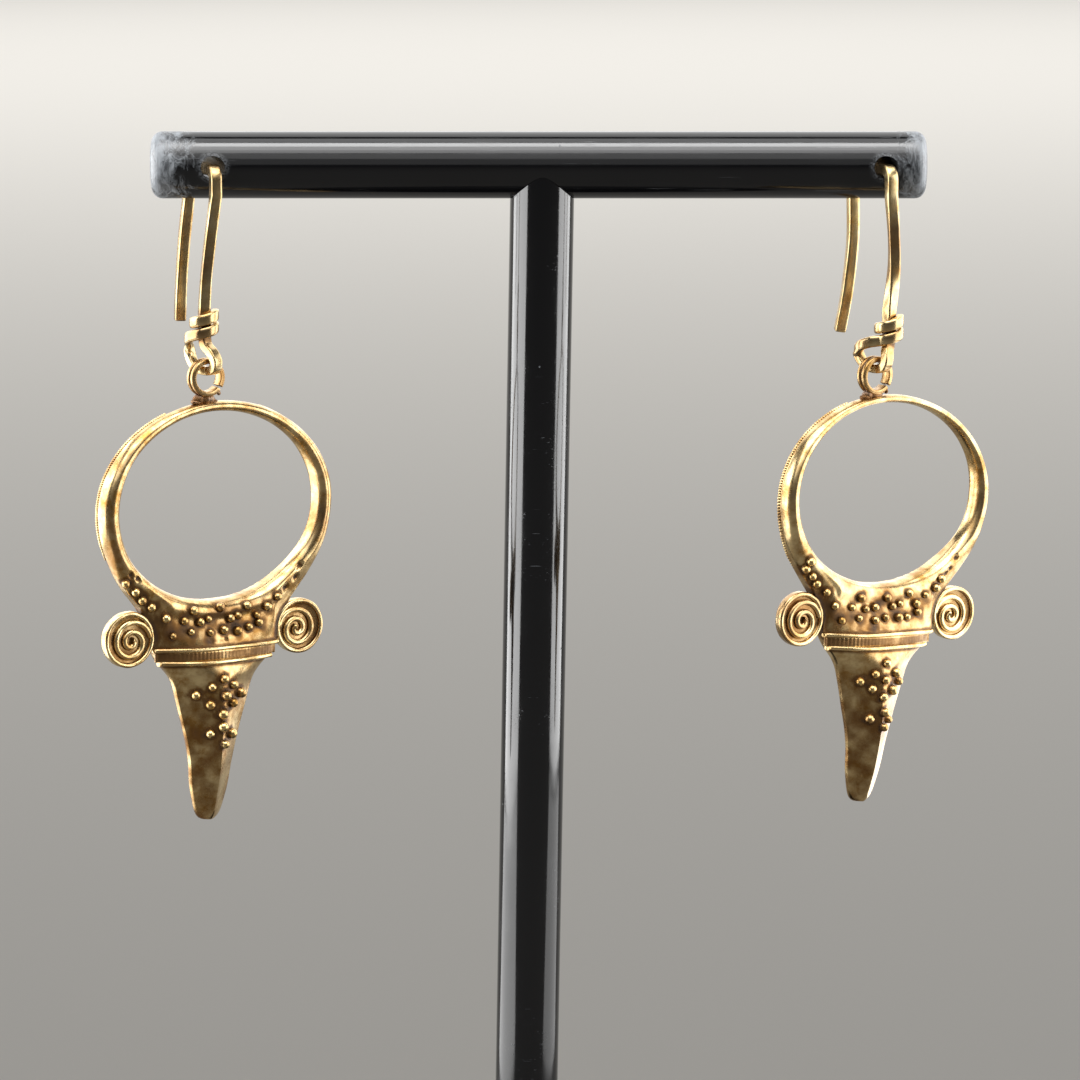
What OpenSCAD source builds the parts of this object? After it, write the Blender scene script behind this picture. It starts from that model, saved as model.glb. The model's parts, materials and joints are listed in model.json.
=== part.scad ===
// Pair of bull's head drop earrings hanging from a small T-bar display stand.
// X runs along the crossbar, -Y is the front, +Z is up, and the origin is the
// middle of the base's underside. All sizes are in millimetres.

/* [Stand] */
// Diameter of the round base disc
base_d = 46; // [40:1:60]
// Thickness of the base disc
base_t = 5; // [4:0.5:8]
// Diameter of the upright post
post_d = 4.8; // [4.4:0.1:4.9]
// Lean of the post to the right, in degrees
post_lean = 1; // [0:0.25:2]
// Diameter of the crossbar
bar_d = 5; // [5:0.1:6]
// Length of the crossbar
bar_len = 57.8; // [56:0.2:70]
// Height of the crossbar's axis above the table
bar_z = 90; // [80:1:120]
// Distance between the two drilled holes
hole_gap = 50; // [46:0.5:52]
// Diameter of the drilled holes
hole_d = 1.66; // [1.6:0.02:2]

/* [Ear hook] */
// Width of the square hook wire
wire = 0.84; // [0.76:0.02:0.9]
// Width of the wire where it is hammered down for the eye
eye_wire = 0.66; // [0.5:0.02:0.68]
// Distance from the crossbar's axis to each leg
leg_reach = 3.28; // [3.24:0.02:3.6]
// Turn of the hook and its hole about the vertical, in degrees
hook_turn = 21.6; // [15:0.2:30]
// Turn of the left eye at the hook's foot about the vertical, in degrees
left_eye_turn = 50; // [46:1:52]
// Turn of the right eye at the hook's foot about the vertical, in degrees
right_eye_turn = 45; // [42:1:48]

/* [Pendant] */
// Turn of the bull's face about the vertical, in degrees
face_turn = 35; // [30:1:40]
// Half width of the opening inside the horns
opening_w = 8.5; // [8:0.1:9]
// Half height of the opening inside the horns
opening_h = 6.95; // [6.6:0.05:7.2]
// Height of the pendant from the horn tips to the muzzle's end
drop_h = 31.5; // [31.2:0.1:31.8]
// Radius of the scroll discs that stand for ears
disc_r = 2.08; // [2:0.04:2.2]
// Diameter of the granules on the muzzle
muzzle_grain = 0.72; // [0.6:0.02:0.84]
// Diameter of the granules on the forehead
brow_grain = 0.62; // [0.54:0.02:0.7]
// Clear height between the eye's wire and the pendant's loop
link_gap = 0.2; // [0.16:0.01:0.24]

/* [Hidden] */

fit_gap = 0.03;
socket_depth = 3;
post_foot = base_t - socket_depth + fit_gap;
bar_x = bar_z * tan(post_lean) - 0.3;
left_hole_x = bar_x - hole_gap / 2 - 0.14;
right_hole_x = bar_x + hole_gap / 2 - 0.18;

// Each hook is bent by hand, so its legs have their own lean. A leg is a list
// of [across, forward, height] from the bar's axis, the rear one from its cut
// end and the front one down to the stem.
left_rear_leg = [[-0.9, -3.3, -12], [-0.8, -3.15, -9], [-0.45, -leg_reach, -5.5]];
right_rear_leg = [[-0.5, -4, -12.9], [-0.2, -3.4, -9.7], [0.16, -leg_reach, -5.8]];
left_front_leg = [[-0.35, leg_reach, -5], [-0.75, leg_reach, -8.2], [-1, leg_reach, -10.8]];
right_front_leg = [[0.38, leg_reach, -5], [0.4, leg_reach, -8], [0.02, leg_reach, -10.8]];

// Each eye from the stem round to its back: [along, height, share of the stem]
left_eye = [[0.2, 2, 0.95], [0.88, 1.35, 0.5], [1.12, 0.7, 0.2], [0.88, 0.17, 0.05],
            [0.3, 0, 0], [-0.3, 0, 0], [-0.85, 0.12, 0], [-1.3, 0.55, 0], [-1.6, 1.15, 0]];
right_eye = [[0.02, 1.95, 1], [0.75, 1.3, 0.5], [1.05, 0.7, 0.15], [0.88, 0.17, 0.03],
             [0.3, 0, 0], [-0.3, 0, 0], [-0.87, 0.12, 0], [-1.35, 0.5, 0], [-1.65, 0.95, 0]];

// The end of the eye leads into the wraps: [angle, radius, height above the wrap]
left_lead = [[236, 1.5, -0.8], [214, 1.25, -0.32], [188, 0.96, -0.1]];
right_lead = [[215, 2.3, -0.8], [201, 1.95, -0.36], [184, 1.38, -0.1]];

// [hole x, pivot [across, forward, height], eye turn, lower wrap height,
//  rear leg, front leg, offset across the hole, lead, eye]
left_hook = [left_hole_x, [-0.9, 3.2, -15.05], left_eye_turn, -12.25,
             left_rear_leg, left_front_leg, 0, left_lead, left_eye];
right_hook = [right_hole_x, [-0.92, 3.1, -14.9], right_eye_turn, -12.7,
              right_rear_leg, right_front_leg, 0.12, right_lead, right_eye];

// The pendants are raised by hand too, so their horn rings differ. A ring is
// [opening's half width, its half height, its middle's height, outer half width, tilt].
left_ring = [opening_w - 0.1, opening_h + 0.1, -opening_h - 0.85, opening_w + 1.35, 2];
right_ring = [opening_w + 0.2, opening_h, -opening_h - 0.6, opening_w + 1.45, 0];

// Each pendant: [loop to horn ring offset, roll, drop to the ring's top, scale,
//  a disc's centre [across, height], ring]
left_drop = [1, -1.9, 2.3, 1.015, [7.3, -17.3], left_ring];
right_drop = [1.7, -4.2, 1.95, 0.985, [7.5, -17], right_ring];

// The pendant's loop, a grooved strip bent round the eye
loop_in = 1.05;
loop_t = 0.4;
loop_w = 0.94;
loop_z = eye_wire / 2 + link_gap - loop_in;

// Middle of the ellipse that bounds the horns
horn_z = -7.8;

disc_face = 0.2;
disc_back = 0.3;
band_z = [-18.3, -19.3];
band_reach = [5.35, 4.85];
band_w = 0.4;
band_h = 0.26;

// The head, from the brow down to the muzzle's blunt end. The front of a
// section is a dome from its edges to its ridge, flatter with a higher power.
// [height, half width, edge depth, ridge depth, back depth, power]
head_rows = [
    [-15.2, 6.3, 0.55, 0.95, 0.75, 3.0],
    [-16.6, 5.65, 0.5, 1.05, 0.7, 2.8],
    [-18.3, 5.2, 0.4, 1.3, 0.6, 2.4],
    [-19.3, 4.65, 0.3, 1.5, 0.5, 2.2],
    [-20.2, 3.85, 0.2, 1.7, 0.45, 2.0],
    [-21.0, 3.4, 0.12, 1.8, 0.4, 1.8],
    [-22.2, 3.05, 0.08, 1.8, 0.38, 1.6],
    [-24.0, 2.55, 0.05, 1.7, 0.36, 1.4],
    [-25.5, 2.15, 0.05, 1.6, 0.35, 1.3],
    [-27.0, 1.85, 0, 1.35, 0.4, 1.25],
    [-28.8, 1.6, -0.15, 1.0, 0.55, 1.25],
    [-30.2, 1.28, -0.25, 0.65, 0.65, 1.3],
    [-31.0, 0.98, -0.3, 0.45, 0.7, 1.4],
    [-drop_h, 0.72, -0.35, 0.25, 0.73, 1.6]
];

// Granules of the muzzle's two lozenges: [across, height]
muzzle_grains = [
    [0, -20.55], [-0.95, -21.15], [0.95, -21.15], [-1.85, -21.85], [0, -21.8],
    [1.85, -21.85], [-0.95, -22.5], [0.95, -22.5], [0, -23.05],
    [0, -24.2], [-0.85, -24.8], [0.85, -24.8], [0, -25.4]
];

// Granules of the brow and the horn roots: [across, height]
brow_grains = [
    [-8.1, -13.1], [-7.3, -13.5], [-7.6, -12.5], [-6.4, -14.3], [-5.7, -15],
    [-4.7, -15.9], [-2.4, -15.3], [-3.2, -16.2], [-1.8, -16.2], [-4, -17.1],
    [-2.6, -17.1], [-1, -17.1], [0, -15.4], [-0.9, -16.1], [0.8, -16.1],
    [0.1, -17], [2.3, -15.2], [1.6, -15.9], [3.1, -16], [1.3, -17.1],
    [2.3, -16.9], [3.3, -16.7], [4, -15.5], [4.9, -14.8], [5.6, -14.3]
];

// Vector helpers
function unit(v) = v / norm(v);
function square_to(v, t) = unit(v - (v * t) * t);

// Catmull-Rom point between rows b and c, at t from 0 to 1
function between(a, b, c, d, t) =
    0.5 * (2 * b + (c - a) * t + (2 * a - 5 * b + 4 * c - d) * t * t
           + (3 * b - a - 3 * c + d) * t * t * t);

// A route smoothed through its rows, with steps points for each stretch
function smoothed(rows, steps) = [
    for (i = [0 : len(rows) - 2])
        let (a = rows[max(i - 1, 0)], d = rows[min(i + 2, len(rows) - 1)])
            for (k = [0 : steps - 1]) between(a, rows[i], rows[i + 1], d, k / steps),
    rows[len(rows) - 1]
];

// Direction of travel at row i of a route whose first three columns are places
function place(row) = [row[0], row[1], row[2]];
function travel(rows, i) =
    unit(place(rows[min(i + 1, len(rows) - 1)]) - place(rows[max(i - 1, 0)]));

// The wire's section: a rectangle of w by t with its corners bevelled
function wire_section(w, t) = let (c = 0.2 * min(w, t)) [
    [w / 2, c - t / 2], [w / 2, t / 2 - c], [w / 2 - c, t / 2], [c - w / 2, t / 2],
    [-w / 2, t / 2 - c], [-w / 2, c - t / 2], [c - w / 2, -t / 2], [w / 2 - c, -t / 2]
];

// The section of a raised line: w wide at its foot, t high, with a rounded top
function ridge_section(w, t) = [
    [w / 2, -0.4 * t], [0.45 * w, 0.6 * t], [0, t], [-0.45 * w, 0.6 * t], [-w / 2, -0.4 * t]
];

// Faces of a tube of rings, each with the same number of points, closed by caps
function tube_faces(rings, sides) = concat(
    [[for (k = [0 : sides - 1]) k]],
    [for (i = [0 : rings - 2], k = [0 : sides - 1])
        [i * sides + k, (i + 1) * sides + k,
         (i + 1) * sides + (k + 1) % sides, i * sides + (k + 1) % sides]],
    [[for (k = [sides - 1 : -1 : 0]) (rings - 1) * sides + k]]
);

// A body along a route of [x, y, z, width, thickness, side x, side y, side z]
module swept(rows, raised = false) {
    sides = raised ? 5 : 8;
    points = [
        for (i = [0 : len(rows) - 1])
            let (t = travel(rows, i), w = rows[i][3], h = rows[i][4],
                 n = square_to([rows[i][5], rows[i][6], rows[i][7]], t),
                 b = cross(t, n))
                for (q = raised ? ridge_section(w, h) : wire_section(w, h))
                    place(rows[i]) + q[0] * n + q[1] * b
    ];
    polyhedron(points, tube_faces(len(rows), sides), convexity = 8);
}

// Level directions in a hook's own frame, where X is across and Y forward
function level(turn) = [sin(turn), cos(turn), 0];

function leg_row(across, forward, height) =
    [across, forward, height, wire, wire, 1, 0, 0];

function leg_rows(places) = [for (p = places) leg_row(p[0], p[1], p[2])];

// Legs and bends, from the rear leg's cut end over the bar to the stem
bend_r = 0.68;
bore_z = -0.2;
function hook_legs(h) = concat(
    smoothed(concat(leg_rows(h[4]), [leg_row(h[6], -leg_reach, -2)]), 3),
    [for (a = [0 : 22.5 : 90]) leg_row(h[6], -leg_reach + bend_r * (1 - cos(a)),
                                       bore_z - bend_r * (1 - sin(a)))],
    [for (a = [90 : -22.5 : 0]) leg_row(h[6], leg_reach - bend_r * (1 - cos(a)),
                                        bore_z - bend_r * (1 - sin(a)))],
    smoothed(concat([leg_row(h[6], leg_reach, -2)], leg_rows(h[5])), 3)
);

// The wraps round the stem
wrap_r = 0.82;
wrap_pitch = 0.97;
wrap_from = 160;
wrap_to = -350;
wrap_wire = [0.84, 0.58];

function stem_place(h) = h[5][len(h[5]) - 1];
function eye_rows(h) = [
    for (e = h[8])
        let (stem = stem_place(h) - h[1], along = level(h[2] - hook_turn),
             p = h[1] + [0, 0, e[1]] + e[0] * along + e[2] * [stem[0], stem[1], 0])
            concat(p, [eye_wire, eye_wire, along[1], -along[0], 0])
];

function wrap_row(h, angle, r, z) =
    [stem_place(h)[0] + r * cos(angle), leg_reach + r * sin(angle), h[3] + z,
     wrap_wire[0], wrap_wire[1], 0, 0, 1];

function hook_route(h) = concat(
    hook_legs(h),
    smoothed(concat(
        [[stem_place(h)[0], leg_reach, h[3] + 0.4, wire - 0.06, wire - 0.06, 1, 0, 0]],
        eye_rows(h),
        [for (w = h[7]) wrap_row(h, w[0], w[1], w[2])]
    ), 2),
    [for (a = [wrap_from : -24 : wrap_to])
        wrap_row(h, a, wrap_r, wrap_pitch * (wrap_from - a) / 360)]
);

module ear_hook(h) {
    color("gold")
        translate([h[0], 0, bar_z])
            rotate(hook_turn)
                mirror([0, 1, 0])
                    swept(hook_route(h));
}

// The stand
module post_axis() {
    rotate([0, post_lean, 0])
        children();
}

module stand_base() {
    bevel = 0.6;
    color([0.06, 0.06, 0.07])
        difference() {
            rotate_extrude($fn = 96)
                polygon([[0, 0], [base_d / 2 - bevel, 0], [base_d / 2, bevel],
                         [base_d / 2, base_t - bevel], [base_d / 2 - bevel, base_t],
                         [0, base_t]]);
            post_axis()
                translate([0, 0, base_t - socket_depth])
                    cylinder(h = base_t, d = post_d + 2 * fit_gap, $fn = 64);
        }
}

module stand_post() {
    color([0.06, 0.06, 0.07])
        difference() {
            post_axis()
                translate([0, 0, post_foot])
                    cylinder(h = bar_z - post_foot, d = post_d, $fn = 64);
            translate([0, 0, bar_z])
                rotate([0, 90, 0])
                    cylinder(h = 3 * bar_d, d = bar_d + 2 * fit_gap, center = true, $fn = 96);
        }
}

module drilled_hole(x) {
    translate([x, 0, bar_z])
        rotate([90, 0, hook_turn])
            cylinder(h = 2 * bar_d, d = hole_d, center = true, $fn = 48);
}

module stand_crossbar() {
    round_r = 0.8;
    r = bar_d / 2;
    half = bar_len / 2;
    corner = [for (a = [0 : 15 : 90])
        [r - round_r + round_r * cos(a), half - round_r + round_r * sin(a)]];
    far_corner = [for (i = [len(corner) - 1 : -1 : 0]) [corner[i][0], -corner[i][1]]];
    color([0.06, 0.06, 0.07])
        difference() {
            translate([bar_x, 0, bar_z])
                rotate([0, 90, 0])
                    rotate_extrude($fn = 96)
                        polygon(concat([[0, -half]], far_corner, corner, [[0, half]]));
            drilled_hole(left_hole_x);
            drilled_hole(right_hole_x);
        }
}

// The horns: tubes that swell from the tips at the top to the brow.
// Angle 0 is at the top; both bounds are ellipses about their own centres.
horn_steps = 40;
horn_low = 9.1;
horn_high = -horn_z;
function inner_bound(ring, a) = [ring[0] * sin(a), ring[2] + ring[1] * cos(a)];
function outer_bound(ring, a) =
    [ring[3] * sin(a), horn_z + (cos(a) > 0 ? horn_high : horn_low) * cos(a)];
function horn_depth(a) = 0.62 + 0.28 * (1 - cos(a)) / 2 + 0.34 * pow(sin(a), 2);

// The horn's section: [from inner bound to outer bound, forward share of depth]
horn_section = [[0.12, 0.92], [0.5, 1], [0.88, 0.86], [1, 0.5], [1, -0.5],
                [0.85, -0.95], [0.15, -0.95], [0, -0.6], [0, 0.6]];

module horn_ring(ring) {
    sides = len(horn_section);
    points = [
        for (i = [0 : horn_steps - 1])
            let (a = 360 * i / horn_steps, p = inner_bound(ring, a),
                 q = outer_bound(ring, a), d = horn_depth(a))
                for (s = horn_section)
                    let (m = p + (q - p) * s[0])
                        [m[0], -d * s[1], m[1]]
    ];
    faces = [
        for (i = [0 : horn_steps - 1], k = [0 : sides - 1])
            let (j = (i + 1) % horn_steps, n = (k + 1) % sides)
                [i * sides + k, i * sides + n, j * sides + n, j * sides + k]
    ];
    translate([0, 0, horn_z])
        rotate([0, -ring[4], 0])
            translate([0, 0, -horn_z])
                polyhedron(points, faces, convexity = 4);
}

// One value of the head's table at a height, between its rows
function head_value(column, z) =
    lookup(z, [for (row = head_rows) [row[0], row[column]]]);

// Depth of the head's front surface at a place
function head_front(x, z) =
    let (w = head_value(1, z), edge = head_value(2, z), ridge = head_value(3, z),
         share = min(abs(x) / w, 1))
        edge + (ridge - edge) * (1 - pow(share, head_value(5, z)));

head_shares = [1, 0.86, 0.66, 0.44, 0.2, 0, -0.2, -0.44, -0.66, -0.86, -1];

module head() {
    sides = len(head_shares) + 2;
    points = [
        for (row = head_rows)
            let (z = row[0], w = row[1])
                each concat([for (s = head_shares) [w * s, -head_front(w * s, z), z]],
                            [[-w, row[4], z], [w, row[4], z]])
    ];
    polyhedron(points, tube_faces(len(head_rows), sides), convexity = 4);
}

// The two wires across the brow, with the sunken strip between them
module bands() {
    for (i = [0, 1])
        swept([for (s = [-1, -0.8, -0.4, 0, 0.4, 0.8, 1])
            let (x = s * band_reach[i])
                [x, -head_front(x, band_z[i]), band_z[i], band_w, band_h, 0, 0, 1]], true);
}

// A scroll disc with its raised rim and coiled wire
coil_from = 0.12;
coil_to = 1.86;
coil_turns = 2.75;
coil_steps = 36;
ridge_w = 0.28;
ridge_h = 0.26;
function coil_row(i) =
    let (t = i / coil_steps, r = coil_from + (coil_to - coil_from) * t,
         a = 20 + 360 * coil_turns * (1 - t))
        [r * cos(a), r * sin(a), disc_face, ridge_w, ridge_h, cos(a), sin(a), 0];

module scroll_disc() {
    top = disc_face + ridge_h;
    rotate([90, 0, 0]) {
        rotate_extrude($fn = 28)
            polygon([[0, -disc_back], [disc_r - 0.1, -disc_back], [disc_r, -disc_back + 0.1],
                     [disc_r, top - 0.1], [disc_r - 0.12, top], [disc_r - 0.26, top - 0.03],
                     [disc_r - 0.36, disc_face], [0, disc_face]]);
        swept([for (i = [0 : coil_steps]) coil_row(i)], true);
    }
}

// Depth of the surface that carries a brow granule: the head or the horn root
function brow_front(x, z) = z < -15.2 ? head_front(x, z) : horn_depth(150) * 0.97;

// A granule with the small foot where it has melted on to the sheet
module granule(x, z, d) {
    translate([x, -brow_front(x, z) - 0.14 * d, z])
        rotate([90, 0, 0])
            hull() {
                sphere(d = 1.05 * d, $fn = 8);
                translate([0, 0, -0.45 * d])
                    cylinder(h = 0.1, d = 0.8 * d, $fn = 8);
            }
}

module granules() {
    for (g = muzzle_grains)
        granule(g[0], g[1], muzzle_grain);
    for (g = brow_grains)
        granule(g[0], g[1], brow_grain);
}

// The loop that hangs on the hook's eye, open at its lower right, with solder
module hanging_loop(drop) {
    outer = loop_in + loop_t;
    half = loop_w / 2;
    translate([0, 0, loop_z])
        rotate([90, 0, 0])
            rotate(-32)
                rotate_extrude(angle = 350, $fn = 30)
                    polygon([[loop_in, -half], [outer - 0.08, -half], [outer, 0.08 - half],
                             [outer, -0.15], [outer - 0.12, 0], [outer, 0.15],
                             [outer, half - 0.08], [outer - 0.08, half], [loop_in, half]]);
    for (x = [-0.5, 0.35])
        hull() {
            translate([x, 0, loop_z - outer + 0.2])
                scale([1, 0.8, 0.5])
                    sphere(d = 1.1, $fn = 9);
            translate([1.25 * x, 0, -drop - 0.35])
                scale([1, 0.7, 0.4])
                    sphere(d = 1.2, $fn = 9);
        }
}

// A whole pendant about its pivot
module pendant(hook, d) {
    color("goldenrod")
        translate([hook[0], 0, bar_z])
            rotate(hook_turn)
                translate([hook[1][0], -hook[1][1], hook[1][2]])
                    rotate(face_turn - hook_turn)
                        rotate([0, -d[1], 0]) {
                            hanging_loop(d[2]);
                            translate([d[0], 0, -d[2]])
                                scale(d[3]) {
                                    horn_ring(d[5]);
                                    head();
                                    bands();
                                    granules();
                                    for (side = [-1, 1])
                                        translate([side * d[4][0], 0, d[4][1]])
                                            scale([-side, 1, 1])
                                                scroll_disc();
                                }
                        }
}

module left_ear_hook() {
    ear_hook(left_hook);
}

module right_ear_hook() {
    ear_hook(right_hook);
}

module left_pendant() {
    pendant(left_hook, left_drop);
}

module right_pendant() {
    pendant(right_hook, right_drop);
}

stand_base();
stand_post();
stand_crossbar();
left_ear_hook();
right_ear_hook();
left_pendant();
right_pendant();
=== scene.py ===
"""Dresses a pair of bull's head drop earrings and the T-bar stand that holds them.

The stand's nodes are kept from the frame. The hooks and pendants are made anew, with the finer
work that their solids leave out. Shapes are made in millimetres, each in its own frame, and
placed in metres in the part's frame: X along the crossbar, -Y the front, +Z up.
"""

import json
import logging
import math
import random
from dataclasses import dataclass, field
from enum import Enum
from typing import Callable, Sequence

import bmesh
import bpy
from mathutils import Matrix, Vector, noise
from mathutils.bvhtree import BVHTree
from mathutils.kdtree import KDTree

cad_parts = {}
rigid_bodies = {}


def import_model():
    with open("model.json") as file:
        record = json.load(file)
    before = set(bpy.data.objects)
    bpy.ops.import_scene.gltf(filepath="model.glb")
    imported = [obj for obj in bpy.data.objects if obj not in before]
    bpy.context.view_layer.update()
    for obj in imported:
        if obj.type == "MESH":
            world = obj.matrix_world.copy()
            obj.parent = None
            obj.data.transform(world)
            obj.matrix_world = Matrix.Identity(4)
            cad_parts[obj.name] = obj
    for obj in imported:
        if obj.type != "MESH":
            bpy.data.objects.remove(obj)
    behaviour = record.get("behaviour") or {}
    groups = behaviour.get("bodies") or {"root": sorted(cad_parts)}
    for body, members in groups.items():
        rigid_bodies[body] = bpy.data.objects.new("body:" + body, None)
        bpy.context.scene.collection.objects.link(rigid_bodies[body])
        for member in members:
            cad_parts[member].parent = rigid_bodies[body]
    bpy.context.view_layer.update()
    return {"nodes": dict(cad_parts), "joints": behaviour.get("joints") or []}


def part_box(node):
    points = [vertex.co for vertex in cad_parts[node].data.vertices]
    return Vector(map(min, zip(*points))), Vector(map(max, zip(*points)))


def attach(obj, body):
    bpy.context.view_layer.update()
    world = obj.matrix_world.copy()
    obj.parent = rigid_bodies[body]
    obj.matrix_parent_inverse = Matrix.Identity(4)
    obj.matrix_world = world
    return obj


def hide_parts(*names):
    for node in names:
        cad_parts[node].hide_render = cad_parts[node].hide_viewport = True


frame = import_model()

LOG = logging.getLogger("bulls_head_earrings")
MM = 0.001

# Angle in degrees past which an edge stays sharp.
CREASE = 50.0

# Vertex attribute, 0 to 1, by which the gold's film and soil are laid, and the painted shade over
# the muzzle's lower left.
SOIL_AND_SHADE = "hollow"

Row = tuple[float, ...]
Seat = tuple[Vector, Vector, float]
Socket = bpy.types.NodeSocket
Colour = tuple[float, float, float, float]


class Body(Enum):
    """The bodies that pieces ride on."""

    STAND = "stand"
    LEFT_DROP = "left_drop"
    RIGHT_DROP = "right_drop"


class Lit(Enum):
    """Groups of pieces that the studio lights apart."""

    RODS = "rods"
    DISC = "disc"
    GOLD = "gold"


def turned(degrees: float, axis: str) -> Matrix:
    """Rotation by an angle in degrees about one axis."""
    return Matrix.Rotation(math.radians(degrees), 4, axis)


def blend(low: float, high: float, share: float) -> float:
    """Value between low and high at a share from 0 to 1."""
    return low + (high - low) * share


def ease(start: float, end: float, value: float) -> float:
    """Smooth step from 0 at start to 1 at end."""
    t = min(max((value - start) / (end - start), 0.0), 1.0)
    return t * t * (3.0 - 2.0 * t)


def signed_power(value: float, power: float) -> float:
    """Power of the value's size, with the value's own sign."""
    return math.copysign(abs(value) ** power, value)


def between(a: Row, b: Row, c: Row, d: Row, t: float) -> Row:
    """Point of a smooth curve between rows b and c.

    Args:
        a: The row before b.
        b: The row that t starts from.
        c: The row that t ends at.
        d: The row after c.
        t: Share of the way from b to c.

    Returns:
        The row at t.
    """
    return tuple(
        0.5 * (2 * q + (r - p) * t + (2 * p - 5 * q + 4 * r - s) * t * t
               + (3 * q - p - 3 * r + s) * t ** 3)
        for p, q, r, s in zip(a, b, c, d)
    )


def smoothed(rows: Sequence[Row], steps: int) -> list[Row]:
    """Smooths a route or a table.

    Args:
        rows: Rows of numbers with the same columns.
        steps: Points for each stretch between two rows.

    Returns:
        The smooth rows, which pass through the given ones.
    """
    last = len(rows) - 1
    points = [
        between(rows[max(i - 1, 0)], rows[i], rows[i + 1], rows[min(i + 2, last)], k / steps)
        for i in range(last)
        for k in range(steps)
    ]
    return points + [tuple(rows[last])]


def look_up(table: Sequence[Row], key: float) -> Row:
    """Reads a table smoothly by its first column.

    Args:
        table: Rows whose first column rises or falls.
        key: Value of the first column.

    Returns:
        The row at the key, held at the table's ends.
    """
    if (table[0][0] - table[-1][0]) * (key - table[0][0]) >= 0:
        return tuple(table[0])
    for i, (low, high) in enumerate(zip(table, table[1:])):
        if (low[0] - key) * (high[0] - key) <= 0:
            t = (key - low[0]) / (high[0] - low[0])
            return between(table[max(i - 1, 0)], low, high, table[min(i + 2, len(table) - 1)], t)
    return tuple(table[-1])


def evenly_spaced(points: Sequence[Vector], count: int) -> list[Vector]:
    """Spreads points evenly along a closed outline.

    Args:
        points: The outline's corners, the last one joined to the first.
        count: Number of points wanted.

    Returns:
        The points, the first of them the outline's first corner.
    """
    ring = list(points) + [points[0]]
    reach = [0.0]
    for p, q in zip(ring, ring[1:]):
        reach.append(reach[-1] + (q - p).length)
    spaced = []
    i = 0
    for k in range(count):
        goal = reach[-1] * k / count
        while reach[i + 1] < goal:
            i += 1
        span = max(reach[i + 1] - reach[i], 1e-9)
        spaced.append(ring[i].lerp(ring[i + 1], (goal - reach[i]) / span))
    return spaced


def close_ends(bm: bmesh.types.BMesh, chamfer: float) -> None:
    """Caps the open ends of a tube and takes their edges off.

    Args:
        bm: The tube.
        chamfer: Width of the bevel round each cap, or 0 for none.
    """
    rim = [e for e in bm.edges if e.is_boundary]
    if not rim:
        return
    caps = bmesh.ops.edgeloop_fill(bm, edges=rim)["faces"]
    if chamfer > 0:
        edges = list({e for face in caps for e in face.edges})
        bmesh.ops.bevel(bm, geom=edges, offset=chamfer, segments=2, profile=0.5,
                        affect="EDGES", material=-1, clamp_overlap=True)


def loft(sections: Sequence[Sequence[Vector]], closed: bool = False,
         chamfer: float = 0.0) -> bmesh.types.BMesh:
    """Wraps a grid round cross-sections.

    Args:
        sections: Closed outlines with the same number of points.
        closed: Whether the last section joins the first.
        chamfer: Width of the bevel round each end of an open loft.

    Returns:
        A closed body.
    """
    around = len(sections[0])
    steps = len(sections) if closed else len(sections) - 1
    bm = bmesh.new()
    bmesh.ops.create_grid(bm, x_segments=around, y_segments=steps, size=0.5)
    for v in bm.verts:
        column = round((v.co.x + 0.5) * around) % around
        v.co = sections[round((v.co.y + 0.5) * steps) % len(sections)][column]
    bmesh.ops.remove_doubles(bm, verts=bm.verts, dist=1e-6)
    close_ends(bm, chamfer)
    bmesh.ops.recalc_face_normals(bm, faces=bm.faces)
    return bm


def spun(outline: Sequence[tuple[float, float]], steps: int, sweep: float = 360.0,
         chamfer: float = 0.0) -> bmesh.types.BMesh:
    """Spins an outline about Z.

    Args:
        outline: (radius, height) points, closed to its first point for a part turn.
        steps: Number of steps in the turn.
        sweep: Angle of the turn in degrees.
        chamfer: Width of the bevel at the ends of a part turn.

    Returns:
        A closed body.
    """
    full = sweep >= 360.0
    bm = bmesh.new()
    verts = [bm.verts.new((r, 0.0, z)) for r, z in outline]
    pairs = list(zip(verts, verts[1:]))
    if not full:
        pairs.append((verts[-1], verts[0]))
    edges = [bm.edges.new(pair) for pair in pairs]
    bmesh.ops.spin(bm, geom=verts + edges, cent=(0, 0, 0), axis=(0, 0, 1),
                   angle=math.radians(sweep), steps=steps, use_merge=full)
    bmesh.ops.remove_doubles(bm, verts=bm.verts, dist=1e-5)
    close_ends(bm, chamfer)
    bmesh.ops.recalc_face_normals(bm, faces=bm.faces)
    return bm


def swept(rows: Sequence[Row], sides: int, squareness: float | Sequence[float],
          chamfer: float = 0.0) -> bmesh.types.BMesh:
    """Sweeps a wire along a route.

    Args:
        rows: x, y, z, width, thickness and the width's direction as x, y, z.
        sides: Points round the wire.
        squareness: 1 for a round wire, towards 0 for a square one, or a value for each row.
        chamfer: Width of the bevel round each end.

    Returns:
        A closed body.
    """
    sections = []
    for i, row in enumerate(rows):
        ahead, behind = rows[min(i + 1, len(rows) - 1)], rows[max(i - 1, 0)]
        travel = (Vector(ahead[:3]) - Vector(behind[:3])).normalized()
        across = Vector(row[5:8])
        across = (across - across.dot(travel) * travel).normalized()
        up = travel.cross(across)
        power = squareness if isinstance(squareness, float) else squareness[i]
        ring = []
        for k in range(sides):
            angle = 2 * math.pi * (k + 0.5) / sides
            ring.append(Vector(row[:3])
                        + across * row[3] / 2 * signed_power(math.cos(angle), power)
                        + up * row[4] / 2 * signed_power(math.sin(angle), power))
        sections.append(ring)
    return loft(sections, chamfer=chamfer)


def joined(parts: Sequence[bmesh.types.BMesh]) -> bmesh.types.BMesh:
    """Gathers meshes into one and frees them.

    Args:
        parts: The meshes.

    Returns:
        The one mesh.
    """
    whole = bmesh.new()
    for part in parts:
        mesh = bpy.data.meshes.new("part")
        part.to_mesh(mesh)
        part.free()
        whole.from_mesh(mesh)
        bpy.data.meshes.remove(mesh)
    return whole


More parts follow.
